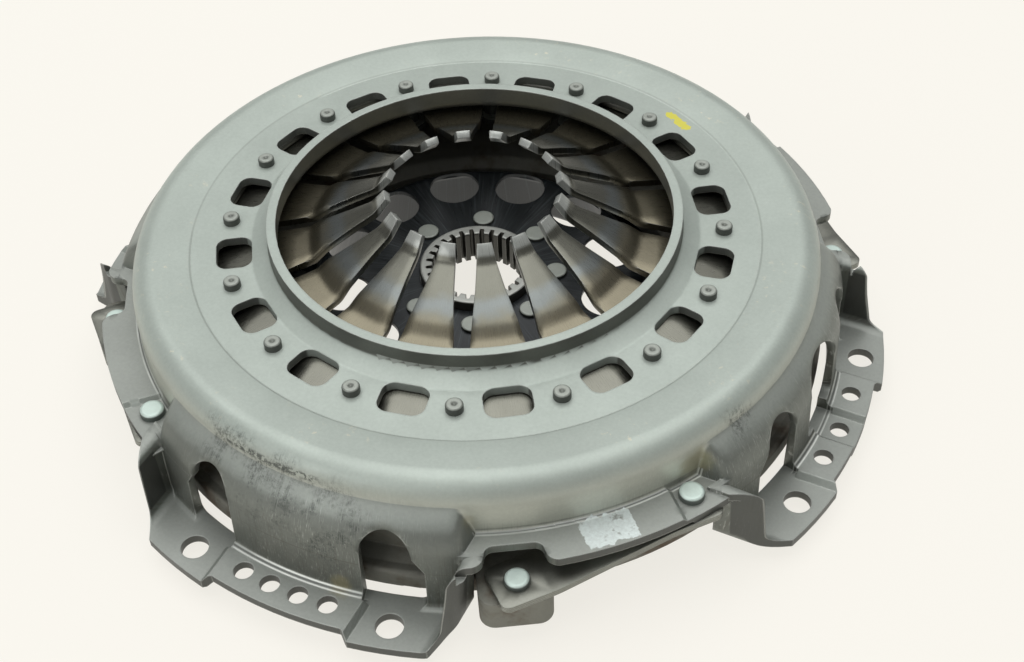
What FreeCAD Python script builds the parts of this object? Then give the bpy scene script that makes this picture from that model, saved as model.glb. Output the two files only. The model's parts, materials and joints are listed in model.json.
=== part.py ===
import FreeCAD, Part
import os
from math import acos, cos, degrees, hypot, radians, sin, sqrt, tan

# Diaphragm clutch: cover, spring and pressure plate, with the driven disc it clamps.
# Millimetres. The origin is the centre of the mounting face, which is the underside
# of the four bolted feet. +Z points to the release side, +X through one of the feet.

V = FreeCAD.Vector

# Cover pressing
SHEET = 3.2
MOUNT_FACE = 0.0
RIVET_LAND = 46.2
COLLAR_TOP = 55.2
COLLAR_RADIUS = 71.6
COLLAR_ROOT = 48.9
COLLAR_BEND = 1.5
LAND_INNER = 78.0
LAND_BEND = 3.0
LAND_OUTER = 98.6
LAND_STEP = 0.4
LAND_STEP_WIDTH = 0.6
CROWN_HEIGHT = 48.9
CROWN_BEND = 7.8
TOWER_WALL = 119.4
LEDGE_TOP = 28.1
LEDGE_RADIUS = 132.4
LEDGE_BEND = 1.4
JOGGLE = 1.5
JOGGLE_PLACE = 22.4

# Feet: the wall swells outwards and the flange comes down to the mounting face
FOOT_WALL = 129.3
HAUNCH_START = 112.0
HAUNCH_SLOPE = 30.0
HAUNCH_CORNER = 34.1
HAUNCH_BEND = 21.0
FOOT_BEND = 2.5
SIDE_ROUND = 4.0
CREASE_PLUS = 53.5
CREASE_MINUS = 57.0
LEAN_PLUS = 0.35
LEAN_MINUS = 0.17
WEB_LEAN = 1.5
WEB_TOP_BEND = 3.6
WEB_FOOT_BEND = 4.0
WEB_BEVEL = 2.4
WEB_BEVEL_START = 0.8
PAD_RADIUS = 146.0
PAD_CORNER_X = 137.2
PAD_CORNER_Y = 50.7
PAD_CORNER_ROUND = 7.0
PAD_SIDE_X = 127.5
PAD_SIDE_ROUND = 10.0
BRIDGE_RADIUS = 143.3
BRIDGE_RISE = 2.0
BRIDGE_HALF = 25.5
DOWEL_PAD_HALF = 6.5
RIM_STEP_ANGLE = 9.9
RIM_STEP_HALF = 0.5

# Holes in the feet
BOLT_CIRCLE = 137.84
BOLT_ANGLE = 15.02
BOLT_HOLE = 9.0
SMALL_CIRCLE = 136.3
SMALL_HOLE = 6.5
SMALL_ANGLES_PLAIN = (-6.45, -2.15, 2.15, 6.45)
SMALL_ANGLES_DOWEL = (-6.6, 0.0, 6.6)

# Windows in the wall beside the bolts, and behind the dowel hole
ARCH_ANGLE = 14.13
ARCH_HALF = 8.3
ARCH_CROWN = 34.4
ARCH_SPRING = 25.3
ARCH_FLARE = 12.0
ARCH_SILL_ROUND = 3.0
DOWEL_ARCH_HALF = 13.0
DOWEL_ARCH_CROWN = 36.0
DOWEL_ARCH_SPRING = 26.0
DOWEL_SILL_HALF = 7.0
DOWEL_SILL_TOP = 8.0

# Rivets and pivot rings that carry the spring
FINGERS = 16
RIVET_CIRCLE = 86.0
RIVET_HEAD = 5.8
RIVET_HEAD_HEIGHT = 2.9
RIVET_SHANK = 5.0
RIVET_DIMPLE = 2.4
RIVET_SHOULDER = 8.0
RIVET_FLANGE = 14.0
RIVET_FLANGE_HEIGHT = 2.6
PIVOT_WIRE = 3.6
PIVOT_GAP = 0.1
SEAT_GAP = 0.02

# Vent windows in the rivet land
VENT_INNER = 77.6
VENT_OUTER = 89.9
VENT_HALF_ANGLE = 5.35
VENT_ROUND = 4.0

# Diaphragm spring
SPRING_THICK = 2.6
SPRING_SLOPE = 0.23
SPRING_RADIUS = 115.0
CRANK_OUTER = 57.5
CRANK_INNER = 53.5
CRANK_RISE = 3.1
FINGER_SLOPE = 0.5
TIP_BEND_RADIUS = 35.0
TIP_RADIUS = 30.4
TIP_RISE = 5.2
FINGER_ROUND = 2.0
TIP_ROUND = 3.0
SLOT_WIDTH = 5.5
SLOT_TIP_WIDTH = 7.0
SLOT_EYE = 10.4

# Pressure plate casting
PLATE_FACE = 3.0
PLATE_RADIUS = 123.1
PLATE_INNER = 76.0
PLATE_RIM_TOP = 10.5
PLATE_STEP_RADIUS = 119.5
PLATE_DRUM_RADIUS = 114.6
PLATE_SHOULDER = 25.0
FULCRUM_RADIUS = 112.5
FULCRUM_HALF = 1.5
FULCRUM_GAP = 0.3
FULCRUM_ROOT = 105.0
PLATE_WAIST = 18.0
PLATE_BACK = 14.0
LUG_RADIUS = 136.5
LUG_CENTRE = -13.5
LUG_WIDTH = 23.0
LUG_TOP = 14.7
LUG_ROUND = 5.0
FULCRUM_BREAKS = 12
FULCRUM_BREAK_WIDTH = 9.0

# Tangential straps between the cover ledges and the plate lugs
LEAVES = 3
LEAF = 0.8
STRAP_WIDTH = 16.5
STRAP_OVERHANG = 8.0
STRAP_FLAT = 10.0
STRAP_ROUND = 3.0
STRAP_BEND = 20.0
STRAP_CLEAR = 1.2
LUG_RIVET_RADIUS = 130.0
LUG_RIVET_ANGLE = -13.25
COVER_RIVET_RADIUS = 125.0
COVER_RIVET_ANGLE = 13.4
STRAP_SHANK = 6.0
LUG_RIVET_HEAD = 8.0
LUG_RIVET_HEIGHT = 2.0
LUG_TAIL = 9.0
LUG_TAIL_HEIGHT = 2.4
LUG_COUNTERBORE = 11.0
LUG_COUNTERBORE_DEPTH = 3.2
COVER_RIVET_HEAD = 8.2
COVER_RIVET_HEIGHT = 2.5
COVER_TAIL_HEIGHT = 2.0

# Cut-out of the ledge over the lug
CUTOUT_START = -17.5
CUTOUT_END = -9.3
CUTOUT_DEPTH = 7.5
CUTOUT_ROUND = 3.0
LOBE_ROUND = 4.5

# Driven disc
DISC_GAP = 0.3
FACING_THICK = 3.3
FACING_OUTER = 116.5
FACING_INNER = 80.0
CUSHION_HEIGHT = 1.9
CUSHION_SHEET = 0.7
CUSHIONS = 12
CUSHION_ANGLE = 26.0
CUSHION_INNER = 70.6
CUSHION_OUTER = 115.5
FACING_RIVETS = 24
FACING_RIVET_CIRCLE = 90.0
FACING_RIVET_CIRCLE_OUTER = 107.0
FACING_RIVET_SHANK = 4.0
FACING_RIVET_HEAD = 7.6
FACING_COUNTERBORE = 9.0
FACING_COUNTERBORE_DEPTH = 1.8
FACING_RIVET_HEIGHT = 1.0
CARRIER_SHEET = 1.6
CARRIER_TOP = 25.1
CARRIER_BORE = 21.0
CARRIER_FLAT = 58.6
CARRIER_CONE = 67.4
CARRIER_OUTER = 79.0
CARRIER_BEND = 4.0
CARRIER_WINDOWS = 12
CARRIER_WINDOW = 18.7
CARRIER_WINDOW_CIRCLE = 48.3
CARRIER_WINDOW_START = 7.5
HUB_TOP = 28.8
HUB_COLLAR = 20.7
HUB_FLANGE = 34.0
HUB_FLANGE_THICK = 4.0
HUB_BOTTOM = 15.5
HUB_BOSS = 22.5
SPLINE_TEETH = 29
SPLINE_TIP = 16.06
SPLINE_ROOT = 18.6
HUB_RIVETS = 8
HUB_RIVET_CIRCLE = 28.0
HUB_RIVET_START = 22.5
HUB_RIVET_HEAD = 7.8
HUB_RIVET_HEIGHT = 1.3
HUB_RIVET_SHANK = 5.0
SEGMENT_RIVET_CIRCLE = 74.3
SEGMENT_RIVET_HEAD = 7.0
SEGMENT_RIVET_HEIGHT = 1.3
SEGMENT_RIVET_SHANK = 4.5
SEGMENT_RIVET_ANGLE = 6.0

DOWEL_FEET = (0, 180)
PLAIN_FEET = (90, 270)
TOWERS = (45, 135, 225, 315)
REACH = 40.0


def section(u, v):
    return V(u, 0, v)


def plan(u, v):
    return V(u, v, 0)


def corner(before, here, after):
    """Arc of the radius here[2] that rounds a corner: its start, middle and end."""
    back = V(before[0] - here[0], before[1] - here[1], 0).normalize()
    ahead = V(after[0] - here[0], after[1] - here[1], 0).normalize()
    half = acos(max(-1.0, min(1.0, back.dot(ahead)))) / 2
    reach = here[2] / tan(half)
    middle = (back + ahead).normalize() * (here[2] / sin(half) - here[2])
    point = V(here[0], here[1], 0)
    return point + back * reach, point + middle, point + ahead * reach


def outline_face(points, place):
    """Face inside an outline of (u, v, radius) corners; radius 0 is a sharp corner."""
    stops = []
    for i, here in enumerate(points):
        if here[2] > 0:
            stops.append(corner(points[i - 1], here, points[(i + 1) % len(points)]))
        else:
            stops.append((V(here[0], here[1], 0),))
    edges = []
    for i, stop in enumerate(stops):
        if len(stop) == 3:
            arc = [place(p.x, p.y) for p in stop]
            edges.append(Part.Arc(arc[0], arc[1], arc[2]).toShape())
        last = stop[-1]
        first = stops[(i + 1) % len(stops)][0]
        if last.distanceToPoint(first) > 1e-6:
            edges.append(Part.LineSegment(place(last.x, last.y), place(first.x, first.y)).toShape())
    return Part.Face(Part.Wire(edges))


def revolved(points, angle=360.0):
    """Solid of revolution about Z of an outline in the (radius, height) plane."""
    return outline_face(points, section).revolve(V(0, 0, 0), V(0, 0, 1), angle)


def upright(points, bottom, top):
    """Prism standing on an outline in plan."""
    face = outline_face(points, plan)
    face.translate(V(0, 0, bottom))
    return face.extrude(V(0, 0, top - bottom))


def across(points, start, end):
    """Prism along X of an outline in the (y, z) plane."""
    face = outline_face(points, lambda u, v: V(start, u, v))
    return face.extrude(V(end - start, 0, 0))


def turned(shape, angle):
    """Copy of a shape turned about Z."""
    copy = shape.copy()
    copy.rotate(V(0, 0, 0), V(0, 0, 1), angle)
    return copy


def moved_path(path, distance):
    """Path moved to the right of its direction, its bend radii grown or shrunk to match."""
    normals = []
    for a, b in zip(path, path[1:]):
        length = hypot(b[0] - a[0], b[1] - a[1])
        normals.append(((b[1] - a[1]) / length, (a[0] - b[0]) / length))
    result = []
    for i, (u, v, radius) in enumerate(path):
        n = normals[max(i - 1, 0)]
        m = normals[min(i, len(normals) - 1)]
        scale = distance / (1 + n[0] * m[0] + n[1] * m[1])
        left = m[1] * n[0] - m[0] * n[1]
        if radius > 0:
            radius = max(0.0, radius + (distance if left > 0 else -distance))
        result.append((u + (n[0] + m[0]) * scale, v + (n[1] + m[1]) * scale, radius))
    return result


def sheet(path, thickness=SHEET):
    """Outline of a sheet whose upper side follows the path."""
    return path + moved_path(path, thickness)[::-1]


def polar(radius, angle):
    return (radius * cos(radians(angle)), radius * sin(radians(angle)))


def drill(radius, angle, diameter, bottom, top):
    """Cylinder along Z at a place given by radius and angle."""
    x, y = polar(radius, angle)
    return Part.makeCylinder(diameter / 2, top - bottom, V(x, y, bottom))


def ring(inner, outer, bottom, top):
    body = Part.makeCylinder(outer, top - bottom, V(0, 0, bottom))
    return body.cut(Part.makeCylinder(inner, top - bottom, V(0, 0, bottom)))


# Heights and radii that follow from the driving sizes
PAD_TOP = MOUNT_FACE + SHEET
LEDGE_UNDER = LEDGE_TOP - SHEET
LAND_UNDER = RIVET_LAND - SHEET
BRIDGE_TOP = PAD_TOP + BRIDGE_RISE
STRAP_SEAT = LEDGE_TOP - JOGGLE - SHEET
STRAP_STACK = LEAVES * LEAF
RIVET_TOP = RIVET_LAND + RIVET_HEAD_HEIGHT
RING_RADIUS = RIVET_CIRCLE + RIVET_SHOULDER / 2 + PIVOT_WIRE / 2 + PIVOT_GAP
SPRING_LEAN = sqrt(1 + SPRING_SLOPE ** 2)
RING_CENTRE = LAND_UNDER - PIVOT_WIRE / 2 - SEAT_GAP
SPRING_AT_RING = RING_CENTRE - (PIVOT_WIRE / 2 + SEAT_GAP) * SPRING_LEAN
LOWER_RING_CENTRE = SPRING_AT_RING - (SPRING_THICK + PIVOT_WIRE / 2 + SEAT_GAP) * SPRING_LEAN
RIVET_FLANGE_TOP = LOWER_RING_CENTRE - PIVOT_WIRE / 2 - SEAT_GAP


def spring_top(radius):
    """Height of the spring's upper face on its conical outer part."""
    return SPRING_AT_RING - SPRING_SLOPE * (radius - RING_RADIUS)


FULCRUM_TOP = spring_top(FULCRUM_RADIUS) - SPRING_THICK * SPRING_LEAN - FULCRUM_GAP

SIDES = ((1, CREASE_PLUS, LEAN_PLUS), (-1, CREASE_MINUS, LEAN_MINUS))


# Cover pressing

def cover_path(ledge):
    """Upper side of the pressing from the collar to the rim of a tower ledge."""
    return [
        (COLLAR_RADIUS, COLLAR_TOP, 0),
        (COLLAR_RADIUS, COLLAR_ROOT, COLLAR_BEND),
        (LAND_INNER, RIVET_LAND, LAND_BEND),
        (LAND_OUTER, RIVET_LAND, 0),
        (LAND_OUTER + LAND_STEP_WIDTH, RIVET_LAND + LAND_STEP, 0),
        (TOWER_WALL, CROWN_HEIGHT, CROWN_BEND),
        (TOWER_WALL, ledge, LEDGE_BEND),
        (LEDGE_RADIUS, ledge, 0),
    ]


def haunch_path(bottom):
    """Upper side of a foot's swollen wall, from under the crown down to a height."""
    rise = (FOOT_WALL - HAUNCH_START) * tan(radians(HAUNCH_SLOPE))
    return [
        (HAUNCH_START, HAUNCH_CORNER + rise, 0),
        (FOOT_WALL, HAUNCH_CORNER, HAUNCH_BEND),
        (FOOT_WALL, bottom, 0),
    ]


def filled(path, inner):
    """Solid of revolution between a wall's path and an inner radius."""
    return revolved(path + [(inner, path[-1][1], 0), (inner, path[0][1], 0)])


def foot_wedge(inset, bottom):
    """Outline in (y, z) of a foot above a height, its leaning sides moved in by an inset."""
    top = CROWN_HEIGHT
    corners = []
    for side, crease, lean in SIDES:
        slant = inset * sqrt(1 + lean ** 2)
        low = crease - lean * (bottom - LEDGE_TOP) - slant
        high = crease - lean * (top - LEDGE_TOP) - slant
        ends = [(side * low, bottom, 0), (side * high, top, 0)]
        corners += ends if side > 0 else ends[::-1]
    return corners


def foot_steps(dowel):
    """Places across a foot where the flange changes level, as (y, rises)."""
    half = BRIDGE_RISE / 2
    edges = [-BRIDGE_HALF, BRIDGE_HALF]
    if dowel:
        edges = [-BRIDGE_HALF, -DOWEL_PAD_HALF, DOWEL_PAD_HALF, BRIDGE_HALF]
    corners = []
    for i, y in enumerate(edges):
        levels = (PAD_TOP, BRIDGE_TOP) if i % 2 == 0 else (BRIDGE_TOP, PAD_TOP)
        corners += [(y - half, levels[0], 0), (y + half, levels[1], 0)]
    return corners


def foot_path(dowel):
    """Upper side of a foot's flange across the foot, web to web."""
    lap = WEB_TOP_BEND + 1
    return [
        (-CREASE_MINUS - lap, LEDGE_TOP, 0),
        (-CREASE_MINUS, LEDGE_TOP, WEB_TOP_BEND),
        (-CREASE_MINUS + WEB_LEAN, PAD_TOP, WEB_FOOT_BEND),
        *foot_steps(dowel),
        (CREASE_PLUS - WEB_LEAN, PAD_TOP, WEB_FOOT_BEND),
        (CREASE_PLUS, LEDGE_TOP, WEB_TOP_BEND),
        (CREASE_PLUS + lap, LEDGE_TOP, 0),
    ]


def foot_plan():
    """Prism of a foot's flange in plan, trimmed by its rim."""
    lap = WEB_TOP_BEND + 1
    corners = [(HAUNCH_START - REACH, 0, 0)]
    for side, crease, lean in SIDES[::-1]:
        end = crease + lap
        root = sqrt(LEDGE_RADIUS ** 2 - end ** 2)
        line = [
            (HAUNCH_START - REACH, side * end, 0),
            (root, side * end, 0),
            (PAD_SIDE_X, side * (crease - 0.4), PAD_SIDE_ROUND),
            (PAD_CORNER_X, side * PAD_CORNER_Y, PAD_CORNER_ROUND),
            (PAD_RADIUS + REACH, side * (PAD_CORNER_Y - REACH), 0),
        ]
        corners += line if side < 0 else line[::-1]
    shape = upright(corners, MOUNT_FACE - 1, LEDGE_TOP + 1)
    shape = shape.common(Part.makeCylinder(PAD_RADIUS, REACH, V(0, 0, MOUNT_FACE - 1)))
    low, high = RIM_STEP_ANGLE - RIM_STEP_HALF, RIM_STEP_ANGLE + RIM_STEP_HALF
    inner, outer = polar(BRIDGE_RADIUS, low), polar(PAD_RADIUS, high)
    far = PAD_RADIUS + REACH
    notch = upright([
        (inner[0], -inner[1], 0), (outer[0], -outer[1], 0), (far, -outer[1], 0),
        (far, outer[1], 0), (outer[0], outer[1], 0), (inner[0], inner[1], 0),
    ], MOUNT_FACE - 1, PAD_RADIUS)
    chord = Part.makeCylinder(BRIDGE_RADIUS, PAD_RADIUS, V(0, 0, MOUNT_FACE - 1))
    return shape.cut(notch.cut(chord))


def foot_shell(dowel):
    """Wall, webs and flange of one foot, centred on +X."""
    upper = haunch_path(LEDGE_UNDER)
    outer = filled(upper, HAUNCH_START)
    outer = outer.common(across(foot_wedge(0, LEDGE_UNDER), 0, PAD_RADIUS))
    corners = [e for e in outer.Edges if side_corner(e)]
    outer = outer.makeFillet(SIDE_ROUND, corners)
    path = foot_path(dowel)
    brim = [(path[-1][0], LEDGE_TOP, 0), (path[0][0], LEDGE_TOP, 0)]
    cup = across(moved_path(path, SHEET) + brim, 0, PAD_RADIUS)
    wall = ring(FOOT_WALL - SHEET, FOOT_WALL, MOUNT_FACE, LEDGE_TOP).common(cup)
    flange = across(sheet(path), HAUNCH_START - REACH, PAD_RADIUS + 1)
    flange = flange.common(foot_plan())
    flange = flange.cut(Part.makeCylinder(FOOT_WALL - SHEET, REACH * 2, V(0, 0, -REACH)))
    lower = wall.fuse([flange] + foot_bends(dowel)).cut(web_reliefs())
    return outer.fuse(lower)


def web_reliefs():
    """Bevels inside the corners between a foot's wall and its webs, clear of the straps."""
    inner = FOOT_WALL - SHEET
    bevels = []
    for side, crease, lean in SIDES:
        start, end = crease + WEB_BEVEL_START, crease + SHEET + 1
        near = sqrt(inner ** 2 - start ** 2)
        far = sqrt((inner + WEB_BEVEL + 1) ** 2 - end ** 2)
        bevels.append(upright([
            (near, side * start, 0), (far, side * end, 0), (far - WEB_BEVEL * 4, side * end, 0),
            (near - WEB_BEVEL * 4, side * start, 0),
        ][::side], MOUNT_FACE - 1, LEDGE_UNDER))
    return bevels


def side_corner(edge):
    """True for the edges where a foot's swollen wall turns into its leaning sides."""
    middle = edge.valueAt((edge.FirstParameter + edge.LastParameter) / 2)
    low, high = edge.BoundBox.ZMin, edge.BoundBox.ZMax
    wide = abs(middle.y) > CREASE_PLUS - 10
    return wide and high - low > 5 and hypot(middle.x, middle.y) > TOWER_WALL


def foot_bends(dowel):
    """Concave bend along the root of a foot's flange, one length per level."""
    ends = [(-CREASE_MINUS + WEB_LEAN, PAD_TOP)]
    steps = foot_steps(dowel)
    for a, b in zip(steps[::2], steps[1::2]):
        ends.append(((a[0] + b[0]) / 2, b[1]))
    lengths = []
    stops = [y for y, level in ends] + [CREASE_PLUS - WEB_LEAN]
    for (start, level), end in zip(ends, stops[1:]):
        fillet = bend_filler(FOOT_WALL, level, FOOT_BEND)
        slab = across([(start, level - 1, 0), (end, level - 1, 0),
                       (end, level + FOOT_BEND, 0), (start, level + FOOT_BEND, 0)], 0, PAD_RADIUS)
        lengths.append(fillet.common(slab))
    return lengths


def bend_filler(radius, level, bend):
    """Ring that fills the corner between a wall and a flange with a concave bend."""
    start = section(radius + bend, level)
    end = section(radius, level + bend)
    centre = section(radius + bend, level + bend)
    middle = centre + (section(radius, level) - centre).normalize() * bend
    root = section(radius - SHEET / 2, level - SHEET / 2)
    edges = [
        Part.Arc(start, middle, end).toShape(),
        Part.LineSegment(end, section(root.x, end.z)).toShape(),
        Part.LineSegment(section(root.x, end.z), root).toShape(),
        Part.LineSegment(root, section(start.x, root.z)).toShape(),
        Part.LineSegment(section(start.x, root.z), start).toShape(),
    ]
    return Part.Face(Part.Wire(edges)).revolve(V(0, 0, 0), V(0, 0, 1), 360)


def foot_hollow():
    """Space inside one foot, which opens the cover's round wall there."""
    inner = moved_path(haunch_path(LEDGE_UNDER), SHEET)
    hollow = filled(inner, HAUNCH_START - REACH)
    hollow = hollow.common(across(foot_wedge(SHEET, LEDGE_UNDER), 0, PAD_RADIUS))
    return hollow


def ledge_clearance():
    """Region over one foot where the towers' ledge gives way to the foot's flange."""
    bottom, top = LEDGE_UNDER - 1, LEDGE_TOP + 1
    lap = WEB_TOP_BEND
    slab = across([(-CREASE_MINUS - lap, bottom, 0), (CREASE_PLUS + lap, bottom, 0),
                   (CREASE_PLUS + lap, top, 0), (-CREASE_MINUS - lap, top, 0)], 0, PAD_RADIUS)
    return slab.common(ring(FOOT_WALL, PAD_RADIUS, bottom, top))


def arch_cutter(half, crown, springing, sill, flare=0.0):
    """Window with a half-elliptical head, cut along X through a foot's wall."""
    rise = crown - springing
    head = Part.Ellipse(V(0, 0, 0), max(half, rise), min(half, rise))
    if half >= rise:
        frame = FreeCAD.Placement(V(0, 0, 0), FreeCAD.Rotation(V(0, 1, 0), V(0, 0, 1), V(1, 0, 0), "XYZ"))
    else:
        frame = FreeCAD.Placement(V(0, 0, 0), FreeCAD.Rotation(V(0, 0, 1), V(0, -1, 0), V(1, 0, 0), "XYZ"))
    disc = Part.Face(Part.Wire(head.toShape()))
    disc.Placement = frame
    disc.translate(V(FOOT_WALL - REACH, 0, springing))
    shape = disc.extrude(V(REACH * 2, 0, 0))
    body = [
        (-half, sill, 0),
        (-half, springing, 0),
        (half, springing, 0),
        (half + flare, springing - flare * 1.6, 0),
        (half + flare, sill, ARCH_SILL_ROUND if flare else 0),
    ]
    if not flare:
        body = [(-half, sill, ARCH_SILL_ROUND), (-half, springing, 0), (half, springing, 0),
                (half, sill, ARCH_SILL_ROUND)]
    return shape.fuse(across(body, FOOT_WALL - REACH, FOOT_WALL + REACH))


def foot_cuts(dowel):
    """Bolt holes, small holes and wall windows of one foot."""
    cuts = []
    window = ring(FOOT_WALL - 2 * SHEET, FOOT_WALL + FOOT_BEND, PAD_TOP, CROWN_HEIGHT)
    arch = arch_cutter(ARCH_HALF, ARCH_CROWN, ARCH_SPRING, PAD_TOP, ARCH_FLARE - ARCH_HALF)
    mirrored = arch.mirror(V(0, 0, 0), V(0, 1, 0))
    cuts.append(turned(arch, ARCH_ANGLE).common(window))
    cuts.append(turned(mirrored, -ARCH_ANGLE).common(window))
    for side in (-1, 1):
        cuts.append(drill(BOLT_CIRCLE, side * BOLT_ANGLE, BOLT_HOLE, MOUNT_FACE - 1, BRIDGE_TOP + 1))
    for angle in SMALL_ANGLES_DOWEL if dowel else SMALL_ANGLES_PLAIN:
        cuts.append(drill(SMALL_CIRCLE, angle, SMALL_HOLE, MOUNT_FACE - 1, BRIDGE_TOP + 1))
    if dowel:
        back = arch_cutter(DOWEL_ARCH_HALF, DOWEL_ARCH_CROWN, DOWEL_ARCH_SPRING, DOWEL_SILL_TOP)
        sill = across([(-DOWEL_SILL_HALF, PAD_TOP, 0), (DOWEL_SILL_HALF, PAD_TOP, 0),
                       (DOWEL_SILL_HALF, DOWEL_SILL_TOP + 1, 0), (-DOWEL_SILL_HALF, DOWEL_SILL_TOP + 1, 0)],
                      FOOT_WALL - REACH, FOOT_WALL + REACH)
        cuts.append(back.fuse(sill).common(window))
    return cuts


def ledge_cutout():
    """Opening in a tower's ledge over the plate's lug, its two lobes rounded."""
    inner = LEDGE_RADIUS - CUTOUT_DEPTH
    start, end = polar(inner, CUTOUT_START), polar(inner, CUTOUT_END)
    mouth_start, mouth_end = polar(LEDGE_RADIUS, CUTOUT_START), polar(LEDGE_RADIUS, CUTOUT_END)
    spread = 2 * LOBE_ROUND / LEDGE_RADIUS
    side_start = polar(LEDGE_RADIUS / cos(spread), CUTOUT_START - degrees(spread))
    side_end = polar(LEDGE_RADIUS / cos(spread), CUTOUT_END + degrees(spread))
    far_start = polar(LEDGE_RADIUS + REACH, CUTOUT_START)
    far_end = polar(LEDGE_RADIUS + REACH, CUTOUT_END)
    return upright([
        (*start, CUTOUT_ROUND), (*mouth_start, LOBE_ROUND), (*side_start, 0), (*far_start, 0),
        (*far_end, 0), (*side_end, 0), (*mouth_end, LOBE_ROUND), (*end, CUTOUT_ROUND),
    ], LEDGE_UNDER - 1, LEDGE_TOP + 1)


def joggle_zone():
    """Region at the end of one tower's ledge that steps down to meet the straps."""
    bottom, top = LEDGE_UNDER - JOGGLE - 1, LEDGE_TOP + LEDGE_BEND + 1
    start = JOGGLE_PLACE - (top - LEDGE_TOP)
    end = JOGGLE_PLACE + (LEDGE_TOP - bottom)
    slab = across([(end, bottom, 0), (LEDGE_RADIUS / 2, bottom, 0),
                   (LEDGE_RADIUS / 2, top, 0), (start, top, 0)], 0, PAD_RADIUS)
    return slab.common(ring(TOWER_WALL, PAD_RADIUS, bottom, top))


def vent_window():
    """One window in the rivet land, centred on +X."""
    half = (VENT_INNER + VENT_OUTER) / 2 * sin(radians(VENT_HALF_ANGLE))
    return upright([
        (VENT_INNER, -half, VENT_ROUND), (VENT_OUTER, -half, VENT_ROUND),
        (VENT_OUTER, half, VENT_ROUND), (VENT_INNER, half, VENT_ROUND),
    ], LAND_UNDER - SHEET, COLLAR_TOP)


def make_cover():
    body = revolved(sheet(cover_path(LEDGE_TOP)))
    low_ledge = revolved(sheet(cover_path(LEDGE_TOP - JOGGLE)[-3:]))
    zones = [turned(joggle_zone(), angle) for angle in TOWERS]
    body = body.cut(zones)
    body = body.fuse([low_ledge.common(zone) for zone in zones])
    feet = {angle: angle in DOWEL_FEET for angle in DOWEL_FEET + PLAIN_FEET}
    body = body.cut([turned(ledge_clearance(), angle) for angle in feet])
    shells = {dowel: foot_shell(dowel) for dowel in (True, False)}
    shells = {dowel: shell.cut(crown_hollow()) for dowel, shell in shells.items()}
    body = body.fuse([turned(shells[dowel], angle) for angle, dowel in feet.items()])
    body = body.cut([turned(foot_hollow(), angle) for angle in feet])
    cuts = []
    for angle, dowel in feet.items():
        cuts += [turned(cut, angle) for cut in foot_cuts(dowel)]
    cuts += [turned(ledge_cutout(), angle) for angle in TOWERS]
    for angle in TOWERS:
        cuts.append(drill(COVER_RIVET_RADIUS, angle + COVER_RIVET_ANGLE, STRAP_SHANK,
                          LEDGE_UNDER - REACH, LEDGE_TOP + 1))
    pitch = 360 / FINGERS
    for i in range(FINGERS):
        cuts.append(turned(vent_window(), (i + 0.5) * pitch))
        cuts.append(drill(RIVET_CIRCLE, i * pitch, RIVET_SHANK, LAND_UNDER - 1, RIVET_LAND + 1))
    return body.cut(cuts).removeSplitter()


def crown_hollow():
    """Space under the land and the crown, which the feet's walls stay out of."""
    path = moved_path(cover_path(LEDGE_TOP), SHEET)
    inner, bottom = HAUNCH_START - REACH, LAND_UNDER - REACH
    return revolved([
        (inner, bottom, 0), (path[5][0], bottom, 0), path[5], path[4], (inner, path[3][1], 0),
    ])


# Rivets, rings and spring

def make_pivot_rivets():
    """Shouldered rivets that hold both pivot rings against the cover."""
    top = RIVET_TOP
    profile = [
        (0, RIVET_FLANGE_TOP - RIVET_FLANGE_HEIGHT, 0),
        (RIVET_FLANGE / 2, RIVET_FLANGE_TOP - RIVET_FLANGE_HEIGHT, 0.6),
        (RIVET_FLANGE / 2, RIVET_FLANGE_TOP, 0),
        (RIVET_SHOULDER / 2, RIVET_FLANGE_TOP, 0),
        (RIVET_SHOULDER / 2, LAND_UNDER, 0),
        (RIVET_SHANK / 2, LAND_UNDER, 0),
        (RIVET_SHANK / 2, RIVET_LAND, 0),
        (RIVET_HEAD / 2, RIVET_LAND, 0),
        (RIVET_HEAD / 2, top, 0.9),
        (RIVET_DIMPLE / 2, top, 0),
        (0, top - RIVET_DIMPLE / 3, 0),
    ]
    rivet = revolved(profile)
    rivet.translate(V(RIVET_CIRCLE, 0, 0))
    return Part.makeCompound([turned(rivet, i * 360 / FINGERS) for i in range(FINGERS)])


def pivot_ring(height):
    return Part.makeTorus(RING_RADIUS, PIVOT_WIRE / 2, V(0, 0, height))


def make_spring():
    """Slotted disc spring with cranked fingers and turned-up contact tips."""
    crank = spring_top(CRANK_OUTER)
    inner = crank + CRANK_RISE
    tip = inner + FINGER_SLOPE * (CRANK_INNER - TIP_BEND_RADIUS)
    body = revolved(sheet([
        (TIP_RADIUS, tip + TIP_RISE, 0),
        (TIP_BEND_RADIUS, tip, TIP_ROUND + SPRING_THICK),
        (CRANK_INNER, inner, FINGER_ROUND + SPRING_THICK),
        (CRANK_OUTER, crank, FINGER_ROUND),
        (SPRING_RADIUS, spring_top(SPRING_RADIUS), 0),
    ], SPRING_THICK))
    bottom, top = spring_top(SPRING_RADIUS) - SPRING_THICK * 2, tip + TIP_RISE + 1
    slot = upright([
        (TIP_RADIUS - 5, -SLOT_TIP_WIDTH / 2, 0), (TIP_RADIUS + 12, -SLOT_TIP_WIDTH / 2, 0),
        (CRANK_OUTER, -SLOT_WIDTH / 2, 0), (RIVET_CIRCLE, -SLOT_WIDTH / 2, 0),
        (RIVET_CIRCLE, SLOT_WIDTH / 2, 0), (CRANK_OUTER, SLOT_WIDTH / 2, 0),
        (TIP_RADIUS + 12, SLOT_TIP_WIDTH / 2, 0), (TIP_RADIUS - 5, SLOT_TIP_WIDTH / 2, 0),
    ], bottom, top)
    slot = slot.fuse(drill(RIVET_CIRCLE, 0, SLOT_EYE, bottom, top))
    return body.cut([turned(slot, i * 360 / FINGERS) for i in range(FINGERS)])


# Pressure plate and straps

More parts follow.
